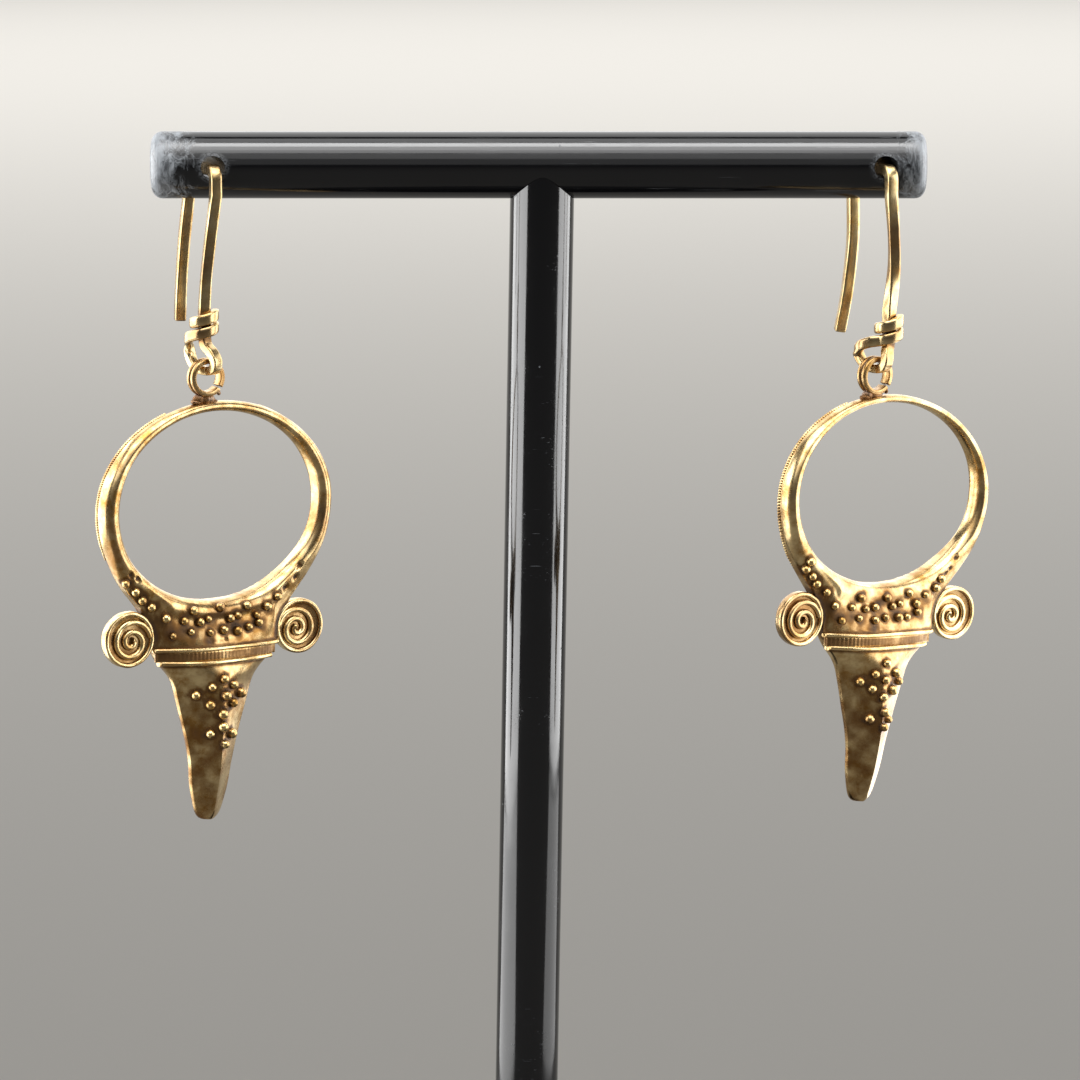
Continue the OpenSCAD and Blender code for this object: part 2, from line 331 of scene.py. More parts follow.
def wander(bm: bmesh.types.BMesh, depth: float, span: float, seed: float) -> None:
    """Makes a surface uneven, as hand work leaves it.

    Args:
        bm: The mesh, in millimetres.
        depth: How far the surface wanders to each side.
        span: Rough size of a dent.
        seed: Offset that makes each piece its own.
    """
    bm.normal_update()
    offset = Vector((seed, 2.7 * seed, -1.3 * seed))
    moves = [v.normal * depth * noise.noise(v.co / span + offset) for v in bm.verts]
    for v, move in zip(bm.verts, moves):
        v.co += move


def set_hollow(bm: bmesh.types.BMesh, share: Callable[[Vector], float]) -> None:
    """Writes how far each vertex lies in a soiled hollow, or under painted shade.

    Args:
        bm: The mesh, in millimetres.
        share: Gives the hollow's share, from 0 to 1, at a place.
    """
    layer = bm.verts.layers.float.get(SOIL_AND_SHADE) or bm.verts.layers.float.new(SOIL_AND_SHADE)
    for v in bm.verts:
        v[layer] = min(max(share(v.co), 0.0), 1.0)


def linear(hex_colour: str) -> Colour:
    """Turns an sRGB hex value into Blender's linear colour.

    Args:
        hex_colour: A value such as #C8A050.

    Returns:
        Red, green and blue, with an alpha of 1.
    """
    channels = [int(hex_colour[i:i + 2], 16) / 255 for i in (1, 3, 5)]
    r, g, b = (c / 12.92 if c <= 0.04045 else ((c + 0.055) / 1.055) ** 2.4 for c in channels)
    return (r, g, b, 1.0)


def add_node(tree: bpy.types.NodeTree, kind: str, inputs: dict[str | int, object] | None = None,
             **settings: object) -> bpy.types.Node:
    """Adds a node with its settings and links.

    Args:
        tree: The node tree.
        kind: The node's type after "ShaderNode".
        inputs: A value or a socket for each input, by name or number.
        **settings: The node's own settings.

    Returns:
        The node.
    """
    node = tree.nodes.new("ShaderNode" + kind)
    for name, value in settings.items():
        setattr(node, name, value)
    for name, value in (inputs or {}).items():
        if isinstance(value, Socket):
            tree.links.new(value, node.inputs[name])
        else:
            node.inputs[name].default_value = value
    return node


@dataclass(frozen=True)
class Finish:
    """A surface finish, which makes its material once."""

    name: str

    def material(self) -> bpy.types.Material:
        """Gives the finish's material, made on first use.

        Returns:
            The material.
        """
        found = bpy.data.materials.get(self.name)
        if found:
            return found
        material = bpy.data.materials.new(self.name)
        material.use_nodes = True
        tree = material.node_tree
        tree.nodes.clear()
        surface = add_node(tree, "BsdfPrincipled")
        add_node(tree, "OutputMaterial", {"Surface": surface.outputs["BSDF"]})
        self.wire_up(tree, surface)
        return material

    def wire_up(self, tree: bpy.types.NodeTree, surface: bpy.types.Node) -> None:
        """Connects the finish's own nodes to the Principled shader.

        Args:
            tree: The material's node tree.
            surface: The Principled shader.
        """
        raise NotImplementedError

    @staticmethod
    def mixed(tree: bpy.types.NodeTree, share: Socket | float, low: object,
              high: object) -> Socket:
        """Colour between low and high by a share.

        Args:
            tree: The node tree.
            share: Socket or number from 0 to 1.
            low: Colour or socket at 0.
            high: Colour or socket at 1.

        Returns:
            The colour's socket.
        """
        node = add_node(tree, "Mix", {0: share, 6: low, 7: high}, data_type="RGBA",
                        clamp_factor=True)
        return node.outputs[2]

    @staticmethod
    def ranged(tree: bpy.types.NodeTree, value: Socket, low: float, high: float,
               to_low: float = 0.0, to_high: float = 1.0) -> Socket:
        """Maps a value's range to another, clamped.

        Args:
            tree: The node tree.
            value: The socket to map.
            low: Value that becomes to_low.
            high: Value that becomes to_high.
            to_low: Result at low.
            to_high: Result at high.

        Returns:
            The result's socket.
        """
        node = add_node(tree, "MapRange", {"Value": value, 1: low, 2: high, 3: to_low, 4: to_high})
        return node.outputs["Result"]


@dataclass(frozen=True)
class WornGold(Finish):
    """Old high-carat gold, hammered and raised by hand and burnished, with soil in its hollows.

    Its reflections are pale yellow, a little blurred by wear, with browner and rosier
    patches some millimetres wide. A brown film with dark soil in its deepest places lies
    beside every raised wire and granule. The skin's grain is drawn coarser than it is, so
    that it shows.
    """

    pale: str = "#EACF9A"
    deep: str = "#A27A40"
    rosy: str = "#8A6440"
    film: str = "#785228"
    soil: str = "#2A1A0C"
    roughness: float = 0.23
    patch_mm: float = 1.7
    dimple_mm: float = 1.0
    dimple_depth_mm: float = 0.012
    grain_mm: float = 0.09
    grain_depth_mm: float = 0.0016
    soiling: float = 1.0

    def wire_up(self, tree: bpy.types.NodeTree, surface: bpy.types.Node) -> None:
        """Connects the patches, the film, the soil and the hammered surface.

        Args:
            tree: The material's node tree.
            surface: The Principled shader.
        """
        place = add_node(tree, "TexCoord").outputs["Object"]
        patch = add_node(tree, "TexNoise", {"Vector": place, "Scale": 1 / (self.patch_mm * MM),
                                            "Detail": 6.0, "Roughness": 0.7}).outputs["Fac"]
        blush = add_node(tree, "TexNoise", {"Vector": place,
                                            "Scale": 0.4 / (self.patch_mm * MM),
                                            "Detail": 3.0}).outputs["Fac"]
        grain = add_node(tree, "TexNoise", {"Vector": place, "Scale": 1 / (self.grain_mm * MM),
                                            "Detail": 4.0}).outputs["Fac"]
        gold = self.mixed(tree, self.ranged(tree, patch, 0.38, 0.64), linear(self.pale),
                          linear(self.deep))
        rosy = self.ranged(tree, blush, 0.5, 0.68, 0.0, 0.7)
        gold = self.mixed(tree, rosy, gold, linear(self.rosy))
        # This attribute also holds painted shade over the muzzle's lower left, laid in the film
        # and soil colours.
        hollow = add_node(tree, "Attribute", attribute_name=SOIL_AND_SHADE).outputs["Fac"]
        uneven = self.ranged(tree, patch, 0.3, 0.7, 0.75, 1.25)
        depth = add_node(tree, "Math", {0: hollow, 1: uneven}, operation="MULTIPLY").outputs[0]
        film = self.ranged(tree, depth, 0.04, 0.6, 0.0, 0.9 * self.soiling)
        soil = self.ranged(tree, depth, 0.45, 1.0, 0.0, 0.85 * self.soiling)
        gold = self.mixed(tree, film, gold, linear(self.film))
        colour = self.mixed(tree, soil, gold, linear(self.soil))
        surface.inputs["Roughness"].default_value = self.roughness
        tree.links.new(colour, surface.inputs["Base Color"])
        tree.links.new(self.ranged(tree, soil, 0.0, 1.0, 1.0, 0.35), surface.inputs["Metallic"])
        worn = self.ranged(tree, patch, 0.3, 0.75, self.roughness - 0.04, self.roughness + 0.1)
        rough = add_node(tree, "Math", {0: soil, 1: 0.35, 2: worn}, operation="MULTIPLY_ADD")
        tree.links.new(rough.outputs[0], surface.inputs["Roughness"])
        dimples = add_node(tree, "TexVoronoi", {"Vector": place,
                                                "Scale": 1 / (self.dimple_mm * MM),
                                                "Smoothness": 0.9}, feature="SMOOTH_F1")
        hammered = add_node(tree, "Bump", {"Height": dimples.outputs["Distance"],
                                           "Strength": 1.0,
                                           "Distance": self.dimple_depth_mm * MM})
        grainy = add_node(tree, "Bump", {"Height": grain, "Strength": 1.0,
                                         "Distance": self.grain_depth_mm * MM,
                                         "Normal": hammered.outputs["Normal"]})
        tree.links.new(grainy.outputs["Normal"], surface.inputs["Normal"])


@dataclass(frozen=True)
class Acrylic(Finish):
    """Black cast acrylic rod, polished and then handled.

    It mirrors the lights in long clean bands over a near-black body, with fine straight
    scratches, a few specks of dust and a faint haze. Sawn ends are frosted grey, and drilled
    holes have a pale rim. Scratches are drawn wider than real ones, so that they show.
    """

    colour: str = "#050506"
    scuff: str = "#6C7074"
    roughness: float = 0.1
    patch_mm: float = 4.0
    scratch_mm: float = 11.0
    scratch_w_mm: float = 0.09
    scratch_turns: tuple[float, ...] = (24.0, -38.0, 84.0)
    scratch_share: float = 0.24
    speck_mm: float = 1.5
    frosted_ends: tuple[float, float] | None = None
    frost_mm: tuple[float, float] = (4.8, 3.2)
    frost_grain_mm: tuple[float, float, float] = (0.7, 1.0, 1.3)
    holes: tuple[tuple[float, float, float], ...] = ()
    hole_turn: float = 0.0
    hole_r: float = 0.83
    chatter_mm: float = 0.14

    def wire_up(self, tree: bpy.types.NodeTree, surface: bpy.types.Node) -> None:
        """Connects the scratches, the dust, the frosted ends and the worn hole rims.

        Args:
            tree: The material's node tree.
            surface: The Principled shader.
        """
        place = add_node(tree, "TexCoord").outputs["Object"]
        patch = add_node(tree, "TexNoise", {"Vector": place, "Scale": 1 / (self.patch_mm * MM),
                                            "Detail": 2.0}).outputs["Fac"]
        layers = [self.scratches(tree, place, patch, turn) for turn in self.scratch_turns]
        layers.append(self.dust(tree, place))
        if self.frosted_ends:
            layers.append(self.frost(tree, place))
        layers += [self.rim(tree, place, hole) for hole in self.holes]
        marks = layers[0]
        for layer in layers[1:]:
            marks = add_node(tree, "Math", {0: marks, 1: layer}, operation="MAXIMUM").outputs[0]
        colour = self.mixed(tree, marks, linear(self.colour), linear(self.scuff))
        tree.links.new(colour, surface.inputs["Base Color"])
        haze = self.ranged(tree, patch, 0.35, 0.7, self.roughness - 0.02, self.roughness + 0.06)
        rough = add_node(tree, "Math", {0: marks, 1: 0.5, 2: haze}, operation="MULTIPLY_ADD")
        tree.links.new(rough.outputs[0], surface.inputs["Roughness"])
        surface.inputs["IOR"].default_value = 1.49
        bump = add_node(tree, "Bump", {"Height": marks, "Strength": 0.7,
                                       "Distance": 0.03 * MM})
        tree.links.new(bump.outputs["Normal"], surface.inputs["Normal"])

    def scratches(self, tree: bpy.types.NodeTree, place: Socket, patch: Socket,
                  turn: float) -> Socket:
        """Share of fine straight scratches that run one way.

        Args:
            tree: The node tree.
            place: The place on the rod.
            patch: Noise that leaves most of the rod clean.
            turn: Angle of the scratches in degrees.

        Returns:
            The share's socket.
        """
        fine = 1 / (self.scratch_w_mm * MM)
        moved = add_node(tree, "Mapping", {
            "Vector": place, "Rotation": (0.3, math.radians(turn), math.radians(turn / 2)),
            "Scale": (1 / (self.scratch_mm * MM), fine, fine)}).outputs["Vector"]
        lines = add_node(tree, "TexNoise", {"Vector": moved, "Scale": 1.0,
                                            "Detail": 0.0}).outputs["Fac"]
        share = self.ranged(tree, lines, 0.8, 0.87, 0.0, self.scratch_share)
        return add_node(tree, "Math", {0: share, 1: self.ranged(tree, patch, 0.5, 0.6)},
                        operation="MULTIPLY").outputs[0]

    def dust(self, tree: bpy.types.NodeTree, place: Socket) -> Socket:
        """Share of sparse pale specks.

        Args:
            tree: The node tree.
            place: The place on the rod.

        Returns:
            The share's socket.
        """
        cells = add_node(tree, "TexVoronoi", {"Vector": place, "Scale": 1 / (self.speck_mm * MM)})
        chosen = add_node(tree, "SeparateColor", {0: cells.outputs["Color"]}).outputs[0]
        return add_node(tree, "Math", {
            0: self.ranged(tree, cells.outputs["Distance"], 0.03, 0.06, 0.45, 0.0),
            1: self.ranged(tree, chosen, 0.84, 0.86)}, operation="MULTIPLY").outputs[0]

    def frost(self, tree: bpy.types.NodeTree, place: Socket) -> Socket:
        """Share of sawn frosting, whole at the rod's two ends and broken up further in.

        Args:
            tree: The node tree.
            place: The place on the rod.

        Returns:
            The share's socket.
        """
        low, high = self.frosted_ends
        x = add_node(tree, "SeparateXYZ", {0: place}).outputs["X"]
        left = self.ranged(tree, x, low, low + self.frost_mm[0] * MM, 0.72, 0.0)
        right = self.ranged(tree, x, high - self.frost_mm[1] * MM, high, 0.0, 0.72)
        ends = add_node(tree, "Math", {0: left, 1: right}, operation="MAXIMUM").outputs[0]
        sawn = add_node(tree, "Mapping", {
            "Vector": place, "Scale": tuple(1 / (size * MM) for size in self.frost_grain_mm)})
        ragged = add_node(tree, "TexNoise", {"Vector": sawn.outputs["Vector"], "Scale": 1.0,
                                             "Detail": 6.0, "Roughness": 0.72,
                                             "Distortion": 0.8}).outputs["Fac"]
        total = add_node(tree, "Math", {0: ends, 1: ragged}, operation="ADD").outputs[0]
        clouds = self.ranged(tree, total, 0.78, 1.12)
        inner = self.ranged(tree, ragged, 0.36, 0.62, 0.3, 0.85)
        return add_node(tree, "Math", {0: clouds, 1: inner}, operation="MULTIPLY").outputs[0]

    def rim(self, tree: bpy.types.NodeTree, place: Socket,
            hole: tuple[float, float, float]) -> Socket:
        """Share of pale chatter marks round a drilled hole.

        Args:
            tree: The node tree.
            place: The place on the rod.
            hole: The hole's middle in metres.

        Returns:
            The share's socket.
        """
        axis = turned(self.hole_turn, "Z") @ Vector((0, 1, 0))
        offset = add_node(tree, "VectorMath", {0: place, 1: hole}, operation="SUBTRACT").outputs[0]
        along = add_node(tree, "VectorMath", {0: offset, 1: axis[:]}, operation="CROSS_PRODUCT")
        distance = add_node(tree, "VectorMath", {0: along.outputs[0]},
                            operation="LENGTH").outputs["Value"]
        ragged = add_node(tree, "TexNoise", {"Vector": place, "Scale": 1 / (self.chatter_mm * MM),
                                             "Detail": 5.0, "Roughness": 0.75}).outputs["Fac"]
        r = self.hole_r * MM
        inner = self.ranged(tree, distance, r - 0.02 * MM, r + 0.04 * MM)
        outer = self.ranged(tree, distance, r + 0.06 * MM, r + 0.42 * MM, 1.0, 0.0)
        ring = add_node(tree, "Math", {0: inner, 1: outer}, operation="MULTIPLY").outputs[0]
        patchy = self.ranged(tree, ragged, 0.42, 0.7, 0.0, 0.5)
        return add_node(tree, "Math", {0: ring, 1: patchy}, operation="MULTIPLY").outputs[0]


HAMMERED_WIRE = WornGold("hammered_gold_wire", pale="#D9C395", deep="#B8965C", dimple_mm=0.8,
                         dimple_depth_mm=0.015, soiling=0.9)
RAISED_SHEET = WornGold("raised_gold_sheet", dimple_depth_mm=0.016)
GRANULE_GOLD = WornGold("fused_gold_granules", pale="#E8CC90", roughness=0.27, dimple_mm=0.4,
                        dimple_depth_mm=0.02)
COILED_WIRE = WornGold("coiled_gold_wire", pale="#F0D8A4", deep="#BC9860", roughness=0.25,
                       dimple_depth_mm=0.01)
LOOP_WIRE = WornGold("worn_gold_loop_wire", pale="#D2B280", deep="#94703E", roughness=0.28,
                     dimple_mm=0.7, dimple_depth_mm=0.014)
SOLDER = WornGold("grey_gold_solder", pale="#A89888", deep="#6E6058", rosy="#5E4A40",
                  roughness=0.36, dimple_mm=0.5, dimple_depth_mm=0.03)


@dataclass
class SubAssembly:
    """Pieces that ride on one body."""

    body: Body

    def add_piece(self, bm: bmesh.types.BMesh, name: str, place: Matrix, finish: Finish,
                  stands_for: str | None = None) -> None:
        """Turns a mesh in millimetres into a gold piece in the part's frame.

        Args:
            bm: The mesh, which this frees.
            name: The piece's name.
            place: Where the mesh's own frame lies, in millimetres.
            finish: The surface finish.
            stands_for: The CAD node that the piece replaces.
        """
        bmesh.ops.transform(bm, matrix=Matrix.Scale(MM, 4) @ place, verts=bm.verts)
        mesh = bpy.data.meshes.new(name)
        bm.to_mesh(mesh)
        bm.free()
        mesh.shade_smooth()
        mesh.set_sharp_from_angle(angle=math.radians(CREASE))
        mesh.materials.append(finish.material())
        piece = bpy.data.objects.new(name, mesh)
        bpy.context.scene.collection.objects.link(piece)
        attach(piece, self.body.value)
        if stands_for:
            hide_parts(stands_for)
        LOG.info("%s: %d faces, %s", name, len(mesh.polygons), finish.name)


@dataclass
class Stand(SubAssembly):
    """The T-bar of black acrylic rod on its disc, kept from the frame and given its finish."""

    body: Body = Body.STAND
    hole_gap: float = 50.0
    hole_r: float = 0.83
    hook_turn: float = 21.6
    left_nudge: float = -0.14
    right_nudge: float = -0.18

    def bar_centre(self) -> Vector:
        """Middle of the crossbar's axis in millimetres."""
        low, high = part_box("stand_crossbar")
        return (low + high) / 2 / MM

    def hole(self, side: int) -> Vector:
        """Middle of a drilled hole in millimetres, with side -1 for the left one."""
        nudge = self.left_nudge if side < 0 else self.right_nudge
        return self.bar_centre() + Vector((side * self.hole_gap / 2 + nudge, 0, 0))

    def build(self) -> None:
        """Gives each CAD node of the stand its acrylic."""
        low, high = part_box("stand_crossbar")
        holes = tuple((self.hole(side) * MM)[:] for side in (-1, 1))
        bar = Acrylic("cut_black_acrylic_bar", frosted_ends=(low.x, high.x), holes=holes,
                      hole_turn=self.hook_turn, hole_r=self.hole_r)
        post = Acrylic("polished_black_acrylic_post")
        disc = Acrylic("turned_black_acrylic_disc", scratch_mm=16.0, scratch_share=0.12)
        for node, finish in (("stand_crossbar", bar), ("stand_post", post), ("stand_base", disc)):
            mesh = frame["nodes"][node].data
            mesh.materials.clear()
            mesh.materials.append(finish.material())
            LOG.info("%s: kept from the frame, %s", node, finish.name)


@dataclass
class EarHook(SubAssembly):
    """Square gold wire over the crossbar, down to an eye and wrapped round its own stem.

    Legs are [across, forward, height, turn of the wire about itself] from the hole's middle,
    in the order in which the wire runs from its rear cut end. The eye's rows are [along,
    height, share of the stem] about the pivot. The lead, which rises from the eye into the
    wraps, has rows of [angle, radius, height] about the stem.
    """

    body: Body = Body.STAND
    name: str = ""
    hole: Vector = field(default_factory=Vector)
    turn: float = 0.0
    pivot: Row = (0.0, 0.0, 0.0)
    eye_turn: float = 0.0
    wrap_z: float = 0.0
    across: float = 0.0
    rear_leg: Sequence[Row] = ()
    front_leg: Sequence[Row] = ()
    eye: Sequence[Row] = ()
    lead: Sequence[Row] = ()
    seed: float = 0.0
    wire: float = 0.84
    stem_wire: float = 0.78
    eye_wire: tuple[float, float] = (0.84, 0.68)
    leg_squareness: float = 0.32
    eye_squareness: float = 0.62
    leg_reach: float = 3.28
    leg_top: float = -2.0
    bend_r: float = 0.68
    bore_z: float = -0.2
    wrap_r: float = 0.82
    wrap_pitch: float = 0.97
    wrap_from: float = 160.0
    wrap_to: float = -350.0
    wrap_tilt: float = 0.08
    wrap_step: float = 8.0
    wrap_wire: tuple[float, float] = (0.84, 0.58)

    def leg_row(self, across: float, forward: float, height: float, turn: float = 0.0) -> Row:
        """A row of a leg, whose wire is turned about the leg by an angle in degrees."""
        side = (math.cos(math.radians(turn)), math.sin(math.radians(turn)), 0.0)
        return (across, -forward, height, self.wire, self.wire, *side)

    def bend(self, towards: int) -> list[Row]:
        """Quarter bend over the bar's edge, in the direction in which the wire runs.

        Args:
            towards: 1 for the bend at the front, -1 for the one at the rear.

        Returns:
            The bend's rows.
        """
        steps = 12
        angles = [90 * k / steps for k in range(steps + 1)]
        if towards > 0:
            angles.reverse()
        return [
            self.leg_row(self.across,
                         towards * (self.leg_reach - self.bend_r * (1 - math.cos(a))),
                         self.bore_z - self.bend_r * (1 - math.sin(a)))
            for a in map(math.radians, angles)
        ]

    def eye_rows(self) -> list[Row]:
        """The eye under the stem, turned about the vertical.

        Returns:
            The eye's rows.
        """
        stem = Vector(self.front_leg[-1][:3]) - Vector(self.pivot)
        turn = math.radians(self.eye_turn - self.turn)
        along = Vector((math.sin(turn), math.cos(turn), 0))
        rows = []
        for reach, height, share in self.eye:
            p = Vector(self.pivot) + along * reach + Vector((stem.x, stem.y, 0)) * share
            rows.append((p.x, -p.y, p.z + height, *self.eye_wire, along.y, along.x, 0.0))
        return rows

    def wrap_row(self, angle: float, radius: float, height: float) -> Row:
        """A row of the wraps about the stem.

        Args:
            angle: Angle about the stem in degrees.
            radius: Distance from the stem's middle.
            height: Height above the wraps' start.

        Returns:
            The row.
        """
        a = math.radians(angle)
        rise = self.wrap_tilt * math.cos(a)
        return (self.front_leg[-1][0] + radius * math.cos(a),
                -self.leg_reach - radius * math.sin(a), self.wrap_z + height + rise,
                *self.wrap_wire, 0.0, 0.0, 1.0)

    def route(self) -> list[Row]:
        """The whole wire from the rear leg's cut end to the end of the wraps.

        Returns:
            The wire's rows.
        """
        rear = [self.leg_row(*p) for p in self.rear_leg]
        front = [self.leg_row(*p) for p in self.front_leg]
        top = [self.leg_row(self.across, side * self.leg_reach, self.leg_top)
               for side in (-1, 1)]
        stem = (self.front_leg[-1][0], -self.leg_reach, self.wrap_z + 0.4,
                self.stem_wire, self.stem_wire, 1.0, 0.0, 0.0)
        lead = [self.wrap_row(*w) for w in self.lead]
        steps = int((self.wrap_from - self.wrap_to) / self.wrap_step)
        angles = [blend(self.wrap_from, self.wrap_to, k / steps) for k in range(steps + 1)]
        wraps = [self.wrap_row(a, self.wrap_r, self.wrap_pitch * (self.wrap_from - a) / 360)
                 for a in angles]
        return (smoothed(rear + top[:1], 8) + self.bend(-1) + self.bend(1)
                + smoothed(top[1:] + front, 8)
                + smoothed([stem] + self.eye_rows() + lead, 6) + wraps)

    def build(self) -> None:
        """Makes the hook and dresses it."""
        rows = []
        for i, row in enumerate(self.route()):
            beat = 1 + 0.03 * noise.noise(Vector((i / 7, self.seed, 0)))
            rows.append((*row[:3], row[3] * beat, row[4] / beat, *row[5:]))
        # Below the front leg, in the route's second half, bending has rounded the wire.
        half = len(rows) / 2
        worked = [ease(self.wrap_z + 2.0, self.wrap_z + 0.6, row[2]) * (i > half)
                  for i, row in enumerate(rows)]
        squareness = [blend(self.leg_squareness, self.eye_squareness, share) for share in worked]
        bm = swept(rows, 24, squareness, chamfer=0.1)
        stem = (self.front_leg[-1][0], -self.leg_reach)
        middle = self.wrap_z + 0.5 * self.wrap_pitch

        def hollow(p: Vector) -> float:
            """Soil between the stem and its wraps."""
            near = math.hypot(p.x - stem[0], p.y - stem[1])
            return ease(0.75, 0.5, near) * ease(1.6, 0.6, abs(p.z - middle))

        set_hollow(bm, hollow)
        place = Matrix.Translation(self.hole) @ turned(self.turn, "Z")
        self.add_piece(bm, self.name + "_wire", place, HAMMERED_WIRE, stands_for=self.name)


@dataclass
class HangingLoop(SubAssembly):
    """Grooved strip bent round the hook's eye and soldered to the horns.

    The strip's turn starts and ends on the viewer's right, with a small gap left open.
    """

    name: str = ""
    place: Matrix = field(default_factory=Matrix)
    drop: float = 2.0
    seed: float = 0.0
    inner_r: float = 1.05
    strip: float = 0.4
    strip_w: float = 0.94
    centre_z: float = -0.52
    start: float = -32.0
    sweep: float = 350.0
    groove: float = 0.13
    groove_w: float = 0.11

    def outline(self) -> list[tuple[float, float]]:
        """Section of the strip: two rounded ridges with a groove between them.

        Returns:
            (radius, height) points.
        """
        half = self.strip_w / 2
        outer = self.inner_r + self.strip
        points = [(self.inner_r, -0.9 * half), (self.inner_r + 0.04, -half)]
        for k in range(17):
            h = blend(-0.97, 0.97, k / 16)
            dip = self.groove * math.exp(-(h * half / self.groove_w) ** 2)
            points.append((outer - dip - 0.12 * abs(h) ** 7, h * half))
        return points + [(self.inner_r + 0.04, half), (self.inner_r, 0.9 * half)]

    def build(self) -> None:
        """Makes the strip and its solder."""
        bm = spun(self.outline(), 72, self.sweep, chamfer=0.03)
        wander(bm, 0.02, 0.9, self.seed)
        outer = self.inner_r + self.strip

        def hollow(p: Vector) -> float:
            """Soil in the strip's groove."""
            return 0.85 * ease(0.17, 0.05, abs(p.z)) * ease(outer - 0.3, outer - 0.12, p.xy.length)

        set_hollow(bm, hollow)
        upright = (self.place @ Matrix.Translation((0, 0, self.centre_z)) @ turned(90, "X")
                   @ turned(self.start, "Z"))
        self.add_piece(bm, self.name + "_loop", upright, LOOP_WIRE)
        self.add_piece(self.solder(), self.name + "_solder", self.place, SOLDER)

    def solder(self) -> bmesh.types.BMesh:
        """Lumps that ran between the loop and the horns, with a stray bead.

        Returns:
            The solder in the loop's frame. Each lump is a ball, given by its place across,
            how far it has sunk, its reach to each side and its height.
        """
        bottom = self.centre_z - self.inner_r - self.strip
        lumps = [(-0.55, 0.0, 0.46, 0.36), (0.36, 0.0, 0.42, 0.34), (-0.05, 0.0, 0.7, 0.3),
                 (-0.8, -0.18, 0.42, 0.12), (0.6, -0.18, 0.4, 0.1)]
        bm = bmesh.new()
        for x, sunk, reach, height in lumps:
            z = (bottom - self.drop) / 2 - 0.02 + sunk
            ball = Matrix.Translation((x, 0, z)) @ Matrix.Diagonal((reach, 0.4, height + 0.1, 1))
            bmesh.ops.create_uvsphere(bm, u_segments=24, v_segments=16, radius=1.0, matrix=ball)
        bead = Matrix.Translation((0.95, -0.3, self.centre_z - 0.75 * self.inner_r - self.strip))
        bmesh.ops.create_uvsphere(bm, u_segments=16, v_segments=12, radius=0.17, matrix=bead)
        wander(bm, 0.07, 0.42, self.seed)
        set_hollow(bm, lambda p: 0.45 + 0.6 * noise.noise(p * 1.7))
        return bm


